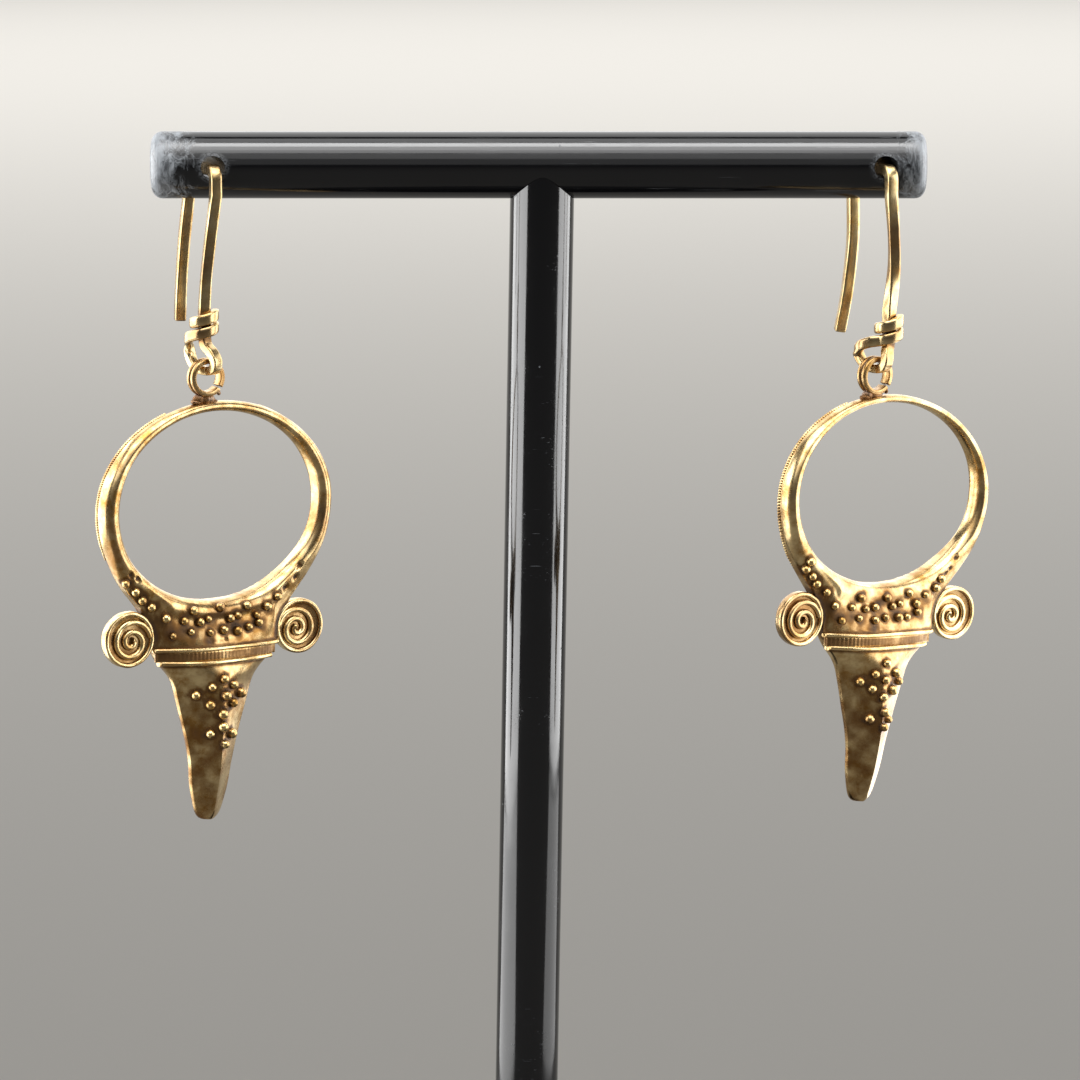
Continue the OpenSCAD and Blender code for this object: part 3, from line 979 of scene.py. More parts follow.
@dataclass
class HeadForm:
    """The raised sheet of horns, brow and face, in the pendant's own frame.

    Angles run round the horns from the top. The brow's outline, drawn for horns edge_w wide,
    is [angle from the lowest point, half width, height]. The face's rows are [height, half
    width, edge depth, ridge depth, back depth, power], where a higher power is a flatter
    section.
    """

    opening_w: float = 8.5
    opening_h: float = 6.95
    opening_z: float = -7.55
    horn_w: float = 9.9
    tilt: float = 0.0
    disc: tuple[float, float] = (7.3, -17.3)
    horn_z: float = -7.8
    horn_high: float = 7.8
    horn_low: float = 9.1
    horn_depth: float = 0.62
    foot_gain: float = 0.14
    side_gain: float = 0.34
    brow_from: float = 72.0
    brow_full: float = 36.0
    brow_z: float = -18.42
    face_top: float = -18.34
    band_z: tuple[float, float] = (-18.3, -19.3)
    lip_r: float = 0.85
    edge_w: float = 9.9
    brow_edge: Sequence[Row] = (
        (84, 9.85, -8.75), (72, 9.45, -10.55), (60, 8.75, -12.15), (50, 7.85, -13.45),
        (43, 7.0, -14.4), (37, 6.35, -15.2), (32, 5.8, -16.3), (29, 5.4, -17.4),
        (27.5, 5.2, -18.42), (18, 3.4, -18.42), (9, 1.7, -18.42), (0, 0, -18.42),
        (-9, -1.7, -18.42),
    )
    face_rows: Sequence[Row] = (
        (-17.3, 5.5, 0.45, 1.2, 0.6, 2.6), (-18.3, 5.2, 0.4, 1.3, 0.6, 2.4),
        (-19.3, 4.65, 0.3, 1.5, 0.5, 2.2), (-20.2, 3.85, 0.2, 1.7, 0.45, 1.9),
        (-21.0, 3.4, 0.12, 1.75, 0.4, 1.5), (-22.2, 3.05, 0.08, 1.75, 0.38, 1.3),
        (-24.0, 2.55, 0.05, 1.7, 0.36, 1.15), (-25.5, 2.15, 0.05, 1.65, 0.35, 1.08),
        (-27.0, 1.85, 0.0, 1.5, 0.4, 1.05), (-28.8, 1.6, -0.15, 1.15, 0.55, 1.05),
        (-30.2, 1.28, -0.25, 0.75, 0.65, 1.08), (-30.9, 1.04, -0.3, 0.5, 0.7, 1.2),
        (-31.3, 0.78, -0.34, 0.25, 0.72, 1.4), (-31.48, 0.5, -0.36, 0.05, 0.7, 1.6),
    )

    def tipped(self, p: Vector, share: float) -> Vector:
        """A point turned with the horns about their middle by a share of the tilt."""
        middle = Vector((0, 0, self.horn_z))
        return turned(-self.tilt * share, "Y") @ (p - middle) + middle

    def inner(self, angle: float) -> Vector:
        """Point of the opening's edge.

        Args:
            angle: Angle from the top in degrees.

        Returns:
            The point.
        """
        a = math.radians(angle)
        edge = Vector((self.opening_w * math.sin(a), 0,
                       self.opening_z + self.opening_h * math.cos(a)))
        return self.tipped(edge, 1.0)

    def outer(self, angle: float) -> Vector:
        """Point of the outline, which is the horn's ellipse and below it the brow's edge.

        Args:
            angle: Angle from the top in degrees.

        Returns:
            The point.
        """
        from_low = 180.0 - angle
        a = math.radians(angle)
        reach = self.horn_high if math.cos(a) > 0 else self.horn_low
        edge = Vector((self.horn_w * math.sin(a), 0, self.horn_z + reach * math.cos(a)))
        if abs(from_low) < self.brow_from:
            _, x, z = look_up(self.brow_edge, abs(from_low))
            wider = (self.horn_w - self.edge_w) * ease(-16.0, -11.0, z)
            edge = Vector((math.copysign(x + wider, from_low), 0, z))
        return self.tipped(edge, ease(-16.5, -12.5, edge.z))

    def depth_at(self, angle: float) -> float:
        """Half depth of the horn's tube at an angle, which grows to its sides and foot."""
        a = math.radians(angle)
        return (self.horn_depth + self.foot_gain * (1 - math.cos(a))
                + self.side_gain * math.sin(a) ** 2)

    def face_front(self, x: float, row: Row) -> float:
        """Depth of the face's front at a distance from its middle."""
        share = min(abs(x) / row[1], 1.0)
        return blend(row[2], row[3], 1 - share ** row[5])

    def brow_front(self, x: float, share: float, height: float) -> float:
        """Depth of the brow, from the rolled lip at the opening to the band.

        Args:
            x: Distance from the middle.
            share: Share of the way from the opening to the band.
            height: Height of the brow at this place.

        Returns:
            The depth in front of the middle plane.
        """
        roll = max(0.0, 1 - share * height / self.lip_r)
        flat = blend(1.02 - 0.14 * ease(0.2, 0.4, share),
                     self.face_front(x, look_up(self.face_rows, self.brow_z)),
                     ease(0.35, 1.0, share))
        return flat * math.sqrt(1 - roll * roll)

    def horn_section(self, angle: float, count: int) -> list[Vector]:
        """Cross-section of the horns and brow at an angle.

        Args:
            angle: Angle from the top in degrees.
            count: Number of points.

        Returns:
            The section's points, the first at its outer edge.
        """
        low, high = self.inner(angle), self.outer(angle)
        height = (high - low).length
        brow = ease(self.brow_from, self.brow_full, abs(180.0 - angle))
        depth = self.depth_at(angle)
        points = []
        for k in range(4 * count):
            t = 2 * math.pi * k / (4 * count)
            share = 0.5 + 0.5 * signed_power(math.cos(t), blend(0.92, 0.55, brow))
            p = low.lerp(high, share)
            edge = abs(2 * share - 1) ** 8
            # The horn's back is flatter than its front, and the brow's is the back plate.
            if math.sin(t) > 0:
                horn = depth * math.sin(t) ** 0.92
                p.y = -blend(horn, self.brow_front(p.x, share, height), brow)
            else:
                p.y = blend(-0.55 * depth * math.sin(t), 0.7 - 0.1 * edge, brow)
            points.append(p)
        return evenly_spaced(points, count)

    def horns_and_brow(self) -> bmesh.types.BMesh:
        """The tube of the two horns, widened below into the brow.

        Returns:
            A closed body.
        """
        steps = 240
        sections = []
        for i in range(steps):
            # Sections stand closer together round the brow, where the outline bends most.
            turn = i / steps
            angle = 360 * turn + 24 * math.sin(2 * math.pi * turn)
            sections.append(self.horn_section(angle, 72))
        return loft(sections, closed=True)

    def face_section(self, row: Row) -> list[Vector]:
        """Cross-section of the face: two facets to a ridge over a thin back plate.

        Args:
            row: A row of the face, smoothed.

        Returns:
            The section's points, the first at its left edge.
        """
        z, w, edge, _, back, _ = row
        inset = min(0.1, 0.2 * w)
        front = []
        for k in range(41):
            x = math.sin(math.radians(-90 + 4.5 * k)) * (w - inset)
            front.append(Vector((x, -self.face_front(x, row), z)))
        drop = self.face_front(w - inset, row) - edge
        rim = [Vector((w - 0.6 * inset, -edge - 0.55 * drop, z)), Vector((w, -edge + 0.1, z)),
               Vector((w, blend(-edge, back, 0.5), z)), Vector((w, back - 0.12, z)),
               Vector((w - 0.03, back - 0.03, z)), Vector((w - 0.12, back, z)),
               Vector((0.5 * w, back, z))]
        mirrored = [Vector((-p.x, p.y, z)) for p in reversed(rim)]
        return front + rim + [Vector((0, back, z))] + mirrored

    def face(self) -> bmesh.types.BMesh:
        """The face from under the band to the muzzle's blunt end.

        Returns:
            A closed body.
        """
        low = self.face_rows[-1][0]
        count = 120
        sections = []
        for k in range(count + 1):
            row = look_up(self.face_rows, blend(self.face_top, low + 0.001, k / count))
            sections.append(self.face_section(row))
        return loft(sections, chamfer=0.1)


@dataclass
class Pendant(SubAssembly):
    """A bull's head in raised gold sheet with granules, scroll discs and a banded brow.

    The granules, pits and slits are [across, height] as the head is seen from its front. The
    coil's seat is its middle on the disc, whose own front is +Z. Four steps of the hatched
    strip make one rib.
    """

    name: str = ""
    node: str = ""
    pivot: Vector = field(default_factory=Vector)
    turn: float = 35.0
    offset: float = 0.0
    roll: float = 0.0
    drop: float = 2.0
    scale: float = 1.0
    seed: int = 1
    form: HeadForm = field(default_factory=HeadForm)
    pits: Sequence[Row] = ()
    disc_r: float = 2.08
    disc_face: float = 0.2
    disc_back: float = 0.3
    seam_to: float = 130.0
    coil_turns: float = 2.08
    coil_from: float = 0.1
    coil_to: float = 1.62
    coil_seat: tuple[float, float] = (0.2, -0.2)
    ridge_w: float = 0.46
    ridge_h: float = 0.26
    band_reach: tuple[float, float] = (5.35, 4.85)
    band_wire: tuple[float, float] = (0.36, 0.46)
    strip_wire: tuple[float, float] = (0.72, 0.2)
    rib_step: float = 0.078
    rib_h: float = 0.009
    seam_from: float = 24.0
    seam_w: float = 0.34
    seam_beads: int = 74
    muzzle_grain: float = 0.72
    brow_grain: float = 0.62
    grain_slip: float = 0.13
    grain_sizes: tuple[float, float] = (0.84, 1.1)
    grain_foot: float = 0.55
    pit_r: float = 0.3
    pit_depth: float = 0.14
    slits: Sequence[Row] = ((-0.85, -17.75), (0.1, -17.8), (0.4, -17.7))
    muzzle_grains: Sequence[Row] = (
        (0, -20.55), (-0.95, -21.15), (0.95, -21.15), (-1.85, -21.85), (0, -21.8),
        (1.85, -21.85), (-0.95, -22.5), (0.95, -22.5), (0, -23.05),
        (0, -24.2), (-0.85, -24.8), (0.85, -24.8), (0, -25.4),
    )
    brow_grains: Sequence[Row] = (
        (-7.8, -13.1), (-7.1, -13.6), (-7.6, -12.4), (-6.4, -14.3), (-5.7, -15),
        (-4.7, -15.9), (-2.4, -15.3), (-3.2, -16.2), (-1.8, -16.2), (-4, -17.1),
        (-2.6, -17.1), (-1, -17.1), (0, -15.4), (-0.9, -16.1), (0.8, -16.1),
        (0.1, -17), (2.3, -15.2), (1.6, -15.9), (3.1, -16), (1.3, -17.1),
        (2.3, -16.9), (3.3, -16.7), (4, -15.5), (4.9, -14.8), (5.6, -14.3),
    )

    def __post_init__(self) -> None:
        """Works out where the loop's and the head's own frames lie."""
        self.loop_place = (Matrix.Translation(self.pivot) @ turned(self.turn, "Z")
                           @ turned(-self.roll, "Y"))
        self.place = (self.loop_place @ Matrix.Translation((self.offset, 0, -self.drop))
                      @ Matrix.Scale(self.scale, 4))
        self.rng = random.Random(self.seed)

    def build(self) -> None:
        """Makes the loop, the sheet, its ornaments and their finishes."""
        HangingLoop(self.body, name=self.name, place=self.loop_place, drop=self.drop,
                    seed=float(self.seed)).build()
        horns = self.form.horns_and_brow()
        face = self.form.face()
        wander(horns, 0.03, 2.6, self.seed)
        wander(face, 0.035, 2.2, self.seed + 0.5)
        self.sink_pits(horns)
        seats = self.granule_seats([BVHTree.FromBMesh(horns), BVHTree.FromBMesh(face)])
        self.lay_soil_and_shade(horns, seats)
        self.lay_soil_and_shade(face, seats)
        self.add_piece(horns, self.name + "_horns", self.place, RAISED_SHEET,
                       stands_for=self.node)
        for word, bm, finish in (
            ("_face", face, RAISED_SHEET),
            ("_granules", self.granules(seats), GRANULE_GOLD),
            ("_bands", self.bands(), COILED_WIRE),
            ("_milled_seam", self.seam_wire(), COILED_WIRE),
            ("_left_scroll", self.scroll(-1), COILED_WIRE),
            ("_right_scroll", self.scroll(1), COILED_WIRE),
        ):
            self.add_piece(bm, self.name + word, self.place, finish)

    def granule_seats(self, sheets: Sequence[BVHTree]) -> list[Seat]:
        """Finds where each granule sits on the sheet.

        Args:
            sheets: Search trees of the sheet's surfaces.

        Returns:
            A point on the surface, its normal and the granule's diameter, for each one.
        """
        sites = [(x, z, self.muzzle_grain) for x, z in self.muzzle_grains]
        sites += [(x, z, self.brow_grain) for x, z in self.brow_grains if not self.lost(x, z)]
        seats = []
        for x, z, size in sites:
            x += self.rng.uniform(-self.grain_slip, self.grain_slip)
            z += self.rng.uniform(-self.grain_slip, self.grain_slip)
            size *= self.rng.uniform(*self.grain_sizes)
            start = Vector((x, -6, z))
            hits = [tree.ray_cast(start, Vector((0, 1, 0))) for tree in sheets]
            hits = [hit for hit in hits if hit[0] is not None]
            if hits:
                point, normal, _, _ = min(hits, key=lambda hit: hit[0].y)
                seats.append((point, normal, size))
        return seats

    def lost(self, x: float, z: float) -> bool:
        """Whether the granule of a seat has come off and left a pit."""
        return any(math.hypot(x - u, z - w) < 0.35 for u, w in self.pits)

    def pit_share(self, p: Vector) -> float:
        """Share of a lost granule's pit, or of a slit in the brow.

        Args:
            p: The place on the sheet.

        Returns:
            The share, from 0 to 1 at the bottom.
        """
        if p.y > 0:
            return 0.0
        pits = [ease(self.pit_r, 0.1, math.hypot(p.x - x, p.z - z)) for x, z in self.pits]
        slits = [0.8 * ease(0.1, 0.03, abs(p.x - x)) * ease(0.22, 0.1, abs(p.z - z))
                 for x, z in self.slits]
        return max(pits + slits)

    def sink_pits(self, bm: bmesh.types.BMesh) -> None:
        """Sinks the pits and slits into the sheet."""
        for v in bm.verts:
            v.co.y += self.pit_depth * self.pit_share(v.co)

    def lay_soil_and_shade(self, bm: bmesh.types.BMesh, seats: Sequence[Seat]) -> None:
        """Marks the soil round granules, discs, bands and the brow's slits, and paints shade over
        the muzzle's lower left.

        Args:
            bm: A part of the sheet.
            seats: The granules' seats.
        """
        tree = KDTree(len(seats))
        for i, (point, _, _) in enumerate(seats):
            tree.insert(point, i)
        tree.balance()
        form = self.form

        def hollow(p: Vector) -> float:
            """Soil on the sheet, with painted shade over the muzzle's lower left.

            Args:
                p: The place on the sheet.

            Returns:
                The share of soil and of painted shade.
            """
            _, i, near = tree.find(p)
            near *= 1 + 0.45 * noise.noise(p * 1.9)
            round_grain = 0.9 * ease(1.2, 0.5, near / seats[i][2])
            disc = min(math.hypot(p.x - s * form.disc[0], p.z - form.disc[1]) for s in (-1, 1))
            by_disc = 0.95 * ease(self.disc_r + 0.6, self.disc_r + 0.05, disc)
            band = min(abs(p.z - z) for z in form.band_z)
            by_band = 0.8 * ease(0.5, 0.2, band) if p.y < 0.2 else 0.0
            patchy = 0.6 + 0.8 * noise.noise(p * 1.1)
            among = patchy * ease(1.9, 0.4, near) * ease(0.1, -0.3, p.y)
            brow = ease(form.band_z[1], form.band_z[0], p.z)
            among *= blend(0.35, 0.9, brow) * ease(-14.8, -15.8, p.z)
            # Painted shade: the muzzle's lower left facet darkens towards its end, patchy as the
            # soil is.
            muzzle = 0.6 * patchy * ease(-18.8, -24.0, p.z) * ease(0.8, -0.5, p.x)
            return max(round_grain, by_disc, by_band, among, muzzle, self.pit_share(p))

        set_hollow(bm, hollow)

    def granules(self, seats: Sequence[Seat]) -> bmesh.types.BMesh:
        """Balls fused to the sheet, each with the melted foot that holds it.

        Args:
            seats: The granules' seats.

        Returns:
            The granules in the pendant's frame, with the soil at their feet marked.
        """
        bm = bmesh.new()
        layer = bm.verts.layers.float.new(SOIL_AND_SHADE)
        for point, normal, size in seats:
            r = size / 2
            frame_of = normal.to_track_quat("Z", "Y").to_matrix().to_4x4()
            ball = Matrix.Translation(point + normal * 0.5 * r) @ frame_of
            made = bmesh.ops.create_uvsphere(bm, u_segments=18, v_segments=12, radius=r,
                                             matrix=ball)["verts"]
            back = ball.inverted()
            for v in made:
                q = back @ v.co
                wider = 1 + self.grain_foot * ease(-0.25 * r, -0.75 * r, q.z)
                q.x *= wider
                q.y *= wider
                v.co = ball @ q
                v[layer] = 0.9 * ease(0.1 * r, -0.55 * r, q.z)
        return bm

    def bands(self) -> bmesh.types.BMesh:
        """Two wires across the brow and the hatched strip between them.

        Returns:
            The wires and the strip in the pendant's frame.
        """
        form = self.form
        parts = []
        wide, thick = self.band_wire
        for z, reach in zip(form.band_z, self.band_reach):
            row = look_up(form.face_rows, z)
            rows = []
            for k in range(-20, 21):
                x = reach * math.sin(math.radians(4.5 * k))
                beat = 1 + 0.06 * noise.noise(Vector((1.7 * x, z, self.seed)))
                # The lower wire's left end has drawn up into a small bead.
                beat += 0.3 * math.exp(-((x + reach) / 0.2) ** 2) * (z < form.brow_z)
                rows.append((x, -form.face_front(x, row) - 0.02, z + 0.03 * math.sin(x),
                             wide * beat, thick * beat, 0, 0, 1))
            parts.append(swept(rows, 14, 0.8, chamfer=0.06))
        middle = sum(form.band_z) / 2
        row = look_up(form.face_rows, middle)
        rows = []
        for k in range(-66, 67):
            x = self.rib_step * k
            rib = self.rib_h * math.cos(k * math.pi / 2)
            rows.append((x, -form.face_front(x, row) + 0.02 - rib, middle, *self.strip_wire,
                         0, 0, 1))
        parts.append(swept(rows, 12, 0.35, chamfer=0.03))
        bm = joined(parts)

        def hollow(p: Vector) -> float:
            """Soil in the strip, deepest along the wires' feet."""
            band = min(abs(p.z - z) for z in form.band_z)
            return (0.6 * ease(0.12, 0.24, band) * ease(0.5, 0.28, band)
                    + 0.12 * ease(0.2, 0.4, band))

        set_hollow(bm, hollow)
        return bm

    def seam_wire(self) -> bmesh.types.BMesh:
        """Milled wire along each horn's rear seam, nicked into beads.

        Returns:
            Both wires in the pendant's frame.
        """
        form = self.form
        steps = 6
        count = steps * self.seam_beads
        parts = []
        for side in (-1, 1):
            rows = []
            for k in range(count + 1):
                t = k / count
                angle = blend(self.seam_from, self.seam_to, t)
                turn = angle if side > 0 else 360.0 - angle
                p, q = form.outer(turn), form.inner(turn)
                p = p.lerp(q, 0.1 / (p - q).length)
                size = self.seam_w * (0.66 + 0.34 * abs(math.sin(math.pi * k / steps)) ** 0.7)
                size *= blend(0.6, 1.0, ease(1.0, 0.85, t))
                rows.append((p.x, 0.36 * form.depth_at(angle), p.z, size, size, 0, 1, 0))
            parts.append(swept(rows, 8, 1.0, chamfer=0.05))
        bm = joined(parts)
        set_hollow(bm, lambda p: 0.15)
        return bm

    def disc_outline(self) -> list[tuple[float, float]]:
        """Half section of a scroll disc, from its back round the rounded rim to its face.

        Returns:
            (radius, height) points.
        """
        r, face, back = self.disc_r, self.disc_face, -self.disc_back
        top = face + self.ridge_h
        rim = [(r - 0.17 + 0.17 * math.cos(a), top - 0.14 + 0.14 * math.sin(a))
               for a in (math.radians(15 * k) for k in range(13))]
        outline = [(0, back), (r - 0.14, back), (r - 0.04, back + 0.04), (r, back + 0.14)] + rim
        return outline + [(r - 0.37, face + 0.02), (r - 0.5, face - 0.03),
                          (0.5 * r, face - 0.05), (0, face - 0.05)]

    def coil_rows(self) -> list[Row]:
        """The wire coiled on a disc, from its bead in the middle to the rim.

        Returns:
            The wire's rows.
        """
        steps = 150
        rows = []
        for i in range(steps + 1):
            t = i / steps
            reach = blend(self.coil_from, self.coil_to, t)
            a = math.radians(10 + 360 * self.coil_turns * (1 - t))
            size = blend(1.35, 1.0, ease(0.0, 0.06, t))
            rows.append((self.coil_seat[0] + reach * math.cos(a),
                         self.coil_seat[1] + reach * math.sin(a), self.disc_face - 0.02,
                         self.ridge_w * size, 2 * self.ridge_h * size,
                         math.cos(a), math.sin(a), 0))
        return rows

    def scroll(self, side: int) -> bmesh.types.BMesh:
        """A scroll disc with its raised rim and coiled wire.

        Args:
            side: -1 for the left disc, 1 for the right one, which is mirrored.

        Returns:
            The disc in the pendant's frame.
        """
        bm = joined([spun(self.disc_outline(), 72),
                     swept(self.coil_rows(), 14, 0.85, chamfer=0.08)])
        wander(bm, 0.03, 0.8, self.seed + side)
        r, face = self.disc_r, self.disc_face
        set_hollow(
            bm, lambda p: 0.5 * ease(face + 0.15, face, p.z) * ease(r, r - 0.2, p.xy.length))
        spot = Matrix.Translation((side * self.form.disc[0], 0, self.form.disc[1]))
        mirror = Matrix.Scale(-1, 4, (1, 0, 0)) if side > 0 else Matrix()
        bmesh.ops.transform(bm, matrix=spot @ mirror @ turned(90, "X"), verts=bm.verts)
        bmesh.ops.recalc_face_normals(bm, faces=bm.faces)
        return bm


@dataclass(frozen=True)
class Softbox:
    """A rectangular studio light aimed at the earrings.

    Azimuth is in degrees to the right of the camera's side, elevation above the horizon, and
    the other sizes are metres. Acrylic mirrors a few percent of a light and gold most of it,
    so each has its own exposure: a radiance of 1 is white. The stand's disc, which mirrors at
    a low angle, gets a share of the rods' light.
    """

    name: str
    azimuth: float
    elevation: float
    distance: float
    width: float
    height: float
    on_acrylic: float = 0.0
    on_gold: float = 0.0
    on_floor: float = 0.0
    disc_share: float = 0.12

    def place(self, aim: Vector, lit: dict[Lit, bpy.types.Collection]) -> None:
        """Puts the light in the scene, out of the camera's sight.

        Args:
            aim: The point that the light faces, unless it lights the floor from above.
            lit: The pieces of each group, which are all that the group's light falls on.
        """
        for group, radiance in ((Lit.RODS, self.on_acrylic), (Lit.GOLD, self.on_gold),
                                (Lit.DISC, self.on_acrylic * self.disc_share)):
            if radiance > 0:
                light = self.panel(f"{self.name}_on_{group.value}", aim, radiance)
                light.rotation_euler = self.away().to_track_quat("Z", "Y").to_euler()
                light.light_linking.receiver_collection = lit[group]
        if self.on_floor > 0:
            self.panel(self.name, aim, self.on_floor).visible_glossy = False

    def away(self) -> Vector:
        """Direction from the aim to the light."""
        a, e = math.radians(self.azimuth), math.radians(self.elevation)
        return Vector((math.sin(a) * math.cos(e), -math.cos(a) * math.cos(e), math.sin(e)))

    def panel(self, name: str, aim: Vector, radiance: float) -> bpy.types.Object:
        """An area light of the softbox's size and place that faces down.

        Args:
            name: The light's name.
            aim: The point that the distance is measured from.
            radiance: Brightness of its face.

        Returns:
            The light.
        """
        data = bpy.data.lights.new(name, "AREA")
        data.shape = "RECTANGLE"
        data.size, data.size_y = self.width, self.height
        data.energy = math.pi * self.width * self.height * radiance
        light = bpy.data.objects.new(name, data)
        light.location = aim + self.away() * self.distance
        light.visible_camera = False
        bpy.context.scene.collection.objects.link(light)
        return light


@dataclass
class Studio:
    """Pale floor, soft lights and the camera, whose place and lens are fitted to the photo.

    Sizes and places are metres. The low cards and the bounces light the undersides, as a pale
    table does.
    """

    aim: Vector = field(default_factory=lambda: Vector((0.0014, 0.0, 0.0616)))
    camera_place: Vector = field(default_factory=lambda: Vector((0.001371, -0.32547, 0.11604)))
    camera_tilt: float = 80.5
    lens: float = 145.1
    sensor: float = 36.0
    floor_half: float = 6.0
    floor_colour: str = "#D4D1CB"
    floor_roughness: float = 0.9
    world_strength: float = 0.06
    # Each has its azimuth, elevation, distance, width and height, then its exposures.
    lights: Sequence[Softbox] = (
        Softbox("left_softbox", -85.0, 11.0, 0.15, 0.2, 0.175, on_acrylic=9.5),
        Softbox("left_far_softbox", -97.0, 11.0, 0.15, 0.2, 0.175, on_gold=4.2),
        Softbox("right_softbox", 90.0, 11.0, 0.15, 0.165, 0.175, on_acrylic=8.5),
        Softbox("right_wide_softbox", 95.0, 11.0, 0.15, 0.25, 0.175, on_gold=3.4),
        Softbox("left_low_card", -85.0, -38.1, 0.0763, 0.084, 0.027, on_acrylic=4.5),
        Softbox("right_low_card", 90.0, -38.1, 0.0763, 0.066, 0.027, on_acrylic=2.4),
        Softbox("left_bounce", -88.0, -27.0, 0.085, 0.1, 0.024, on_gold=2.4),
        Softbox("right_bounce", 108.0, -27.0, 0.085, 0.15, 0.024, on_gold=2.1),
        Softbox("top_softbox", 0.0, 81.5, 0.5, 0.6, 0.44, on_acrylic=2.5, on_gold=4.6),
        Softbox("top_strip", 0.0, 78.0, 0.5, 0.6, 0.12, on_acrylic=12.0),
        Softbox("upper_strip", 0.0, 59.0, 0.5, 0.6, 0.2, on_acrylic=4.6, on_gold=2.8),
        Softbox("front_strip", 0.0, 38.0, 0.5, 0.6, 0.16, on_acrylic=1.5, on_gold=1.5),
        Softbox("low_strip", 0.0, 19.0, 0.5, 0.6, 0.18, on_acrylic=0.5, on_gold=0.12),
        Softbox("rear_softbox", 180.0, 32.0, 0.6, 0.9, 0.75, on_acrylic=1.5, on_gold=2.2),
        Softbox("floor_wash", 180.0, 34.0, 2.15, 3.0, 2.2, on_floor=2.5),
    )

    def build(self) -> None:
        """Makes the floor, the world, the lights and the camera."""
        floor = self.lay_floor()
        self.dim_world()
        lit = self.lit_groups(floor)
        for light in self.lights:
            light.place(self.aim, lit)
        bpy.context.scene.view_settings.view_transform = "Standard"
        self.set_camera()

    def lay_floor(self) -> bpy.types.Object:
        """Makes the floor in matt pale grey paint.

        Returns:
            The floor.
        """
        bm = bmesh.new()
        bmesh.ops.create_grid(bm, x_segments=1, y_segments=1, size=self.floor_half)
        mesh = bpy.data.meshes.new("pale_floor")
        bm.to_mesh(mesh)
        bm.free()
        paint = bpy.data.materials.new("matt_floor_paint")
        paint.use_nodes = True
        surface = paint.node_tree.nodes["Principled BSDF"]
        surface.inputs["Base Color"].default_value = linear(self.floor_colour)
        surface.inputs["Roughness"].default_value = self.floor_roughness
        mesh.materials.append(paint)
        floor = bpy.data.objects.new("pale_floor", mesh)
        bpy.context.scene.collection.objects.link(floor)
        return floor

    def dim_world(self) -> None:
        """Makes the even dim light round the studio."""
        world = bpy.data.worlds.new("dim_studio")
        world.use_nodes = True
        background = world.node_tree.nodes["Background"]
        background.inputs["Color"].default_value = linear("#FFFFFF")
        background.inputs["Strength"].default_value = self.world_strength
        bpy.context.scene.world = world

    @staticmethod
    def lit_groups(floor: bpy.types.Object) -> dict[Lit, bpy.types.Collection]:
        """Sorts the pieces by the last word of their finish into groups with their own lights.

        Args:
            floor: The floor, which belongs to no group.

        Returns:
            Each group's collection.
        """
        apart = {"bar": Lit.RODS, "post": Lit.RODS, "disc": Lit.DISC}
        lit = {group: bpy.data.collections.new("lit_" + group.value) for group in Lit}
        for piece in bpy.context.scene.objects:
            if piece.type == "MESH" and piece is not floor:
                kind = piece.active_material.name.split("_")[-1]
                lit[apart.get(kind, Lit.GOLD)].objects.link(piece)
        return lit

    def set_camera(self) -> None:
        """Puts the camera where the photo was taken from."""
        data = bpy.data.cameras.new("camera")
        data.lens, data.sensor_width = self.lens, self.sensor
        data.clip_start = 0.01
        camera = bpy.data.objects.new("camera", data)
        camera.location = self.camera_place
        camera.rotation_euler = (math.radians(self.camera_tilt), 0, 0)
        bpy.context.scene.collection.objects.link(camera)
        bpy.context.scene.camera = camera


def joint_place(name: str) -> Vector:
    """Place of a joint in millimetres."""
    joint = next(j for j in frame["joints"] if j["name"] == name)
    return Vector(joint["pos_m"]) / MM


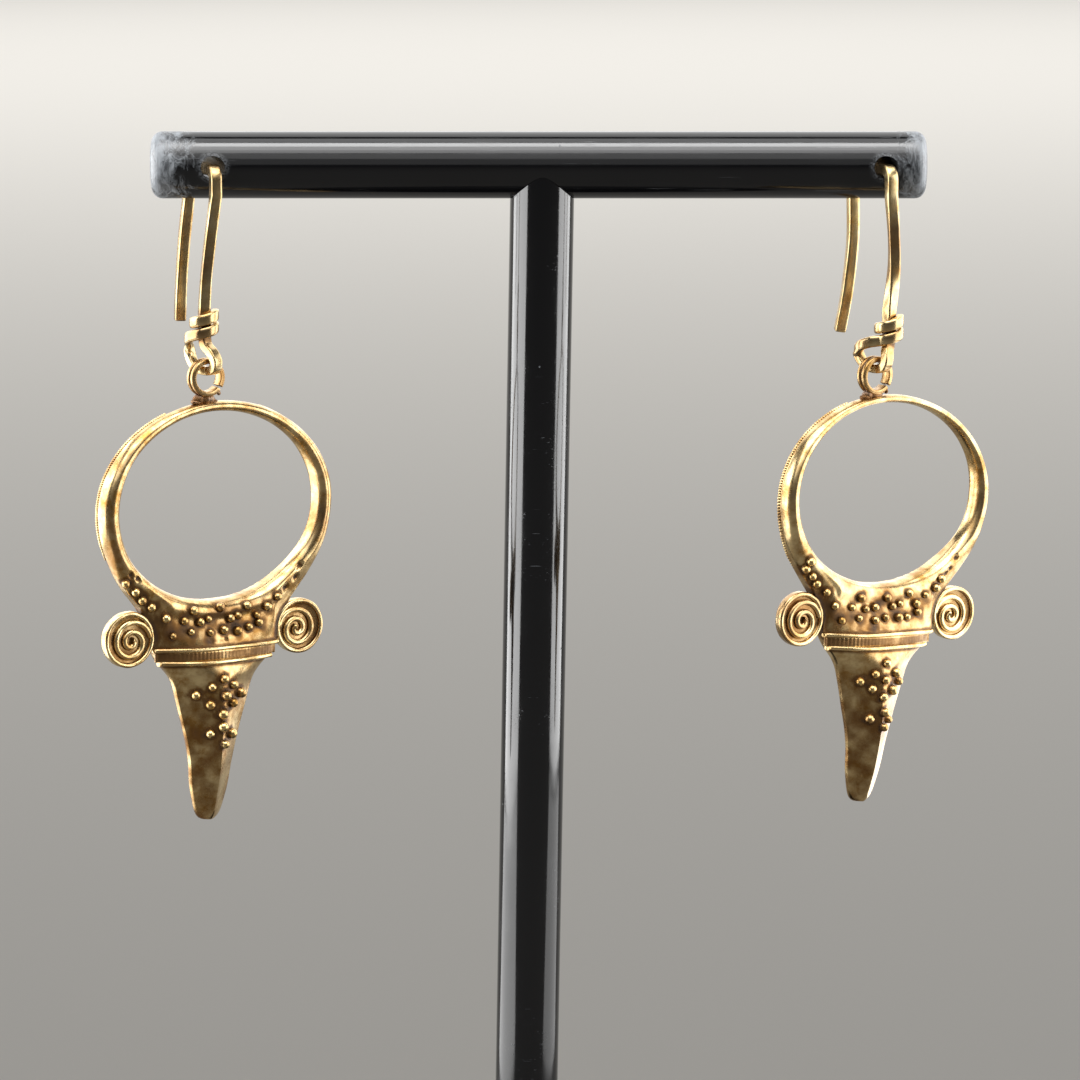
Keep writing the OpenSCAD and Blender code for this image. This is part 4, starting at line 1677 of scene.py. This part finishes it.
def main() -> None:
    """Builds the stand, the hooks, the pendants and the studio."""
    logging.basicConfig(level=logging.INFO, format="%(message)s")
    stand = Stand()
    stand.build()
    EarHook(
        name="left_ear_hook", hole=stand.hole(-1), turn=stand.hook_turn,
        pivot=(-0.9, 3.2, -15.05), eye_turn=50, wrap_z=-12.25, seed=1.0,
        rear_leg=((-0.9, -3.3, -12, -6), (-0.8, -3.15, -9, -4), (-0.45, -3.28, -5.5, 0)),
        front_leg=((-0.43, 3.28, -5, -6), (-0.83, 3.28, -8.2, -8), (-1.02, 3.28, -10.8, -4)),
        eye=((0.12, 2, 0.95), (0.7, 1.4, 0.5), (1.06, 0.75, 0.2), (0.88, 0.16, 0.05),
             (0.3, 0, 0), (-0.3, 0, 0), (-0.88, 0.1, 0), (-1.37, 0.52, 0), (-1.66, 1.15, 0)),
        lead=((236, 1.5, -0.8), (214, 1.25, -0.32), (188, 0.96, -0.1)),
    ).build()
    EarHook(
        name="right_ear_hook", hole=stand.hole(1), turn=stand.hook_turn,
        pivot=(-0.92, 3.1, -14.9), eye_turn=45, wrap_z=-12.7, across=0.12, seed=2.0,
        rear_leg=((-0.5, -4, -12.9, -14), (-0.2, -3.4, -9.7, -12), (0.16, -3.28, -5.8, -6)),
        front_leg=((0.38, 3.28, -5, -14), (0.42, 3.28, -7.6, -6), (0.06, 3.28, -10.8, 26)),
        eye=((0.02, 1.95, 1), (0.52, 1.4, 0.5), (0.95, 0.75, 0.15), (0.86, 0.18, 0.03),
             (0.3, 0, 0), (-0.3, 0, 0), (-0.87, 0.12, 0), (-1.35, 0.5, 0), (-1.65, 0.95, 0)),
        lead=((215, 2.3, -0.8), (201, 1.95, -0.36), (184, 1.38, -0.1)),
    ).build()
    Pendant(
        Body.LEFT_DROP, name="left_bull", node="left_pendant",
        pivot=joint_place("left_drop_swing"), seed=3,
        offset=1.0, roll=-1.9, drop=2.3, scale=1.015,
        form=HeadForm(opening_w=8.4, opening_h=7.05, opening_z=-7.8, horn_w=9.83, tilt=2.0),
        pits=((-7.6, -12.4), (-7.0, -12.7), (6.9, -12.6), (6.6, -13.5), (5.7, -14.25)),
        seam_to=112.0,
    ).build()
    Pendant(
        Body.RIGHT_DROP, name="right_bull", node="right_pendant",
        pivot=joint_place("right_drop_swing"), seed=8,
        offset=1.7, roll=-4.2, drop=1.95, scale=0.985,
        form=HeadForm(opening_w=8.7, opening_h=6.95, opening_z=-7.55, horn_w=9.93,
                      disc=(7.5, -17.0)),
        pits=((6.9, -12.6), (6.5, -13.4), (6.1, -13.8)),
    ).build()
    Studio().build()


if __name__ == "__main__":
    main()
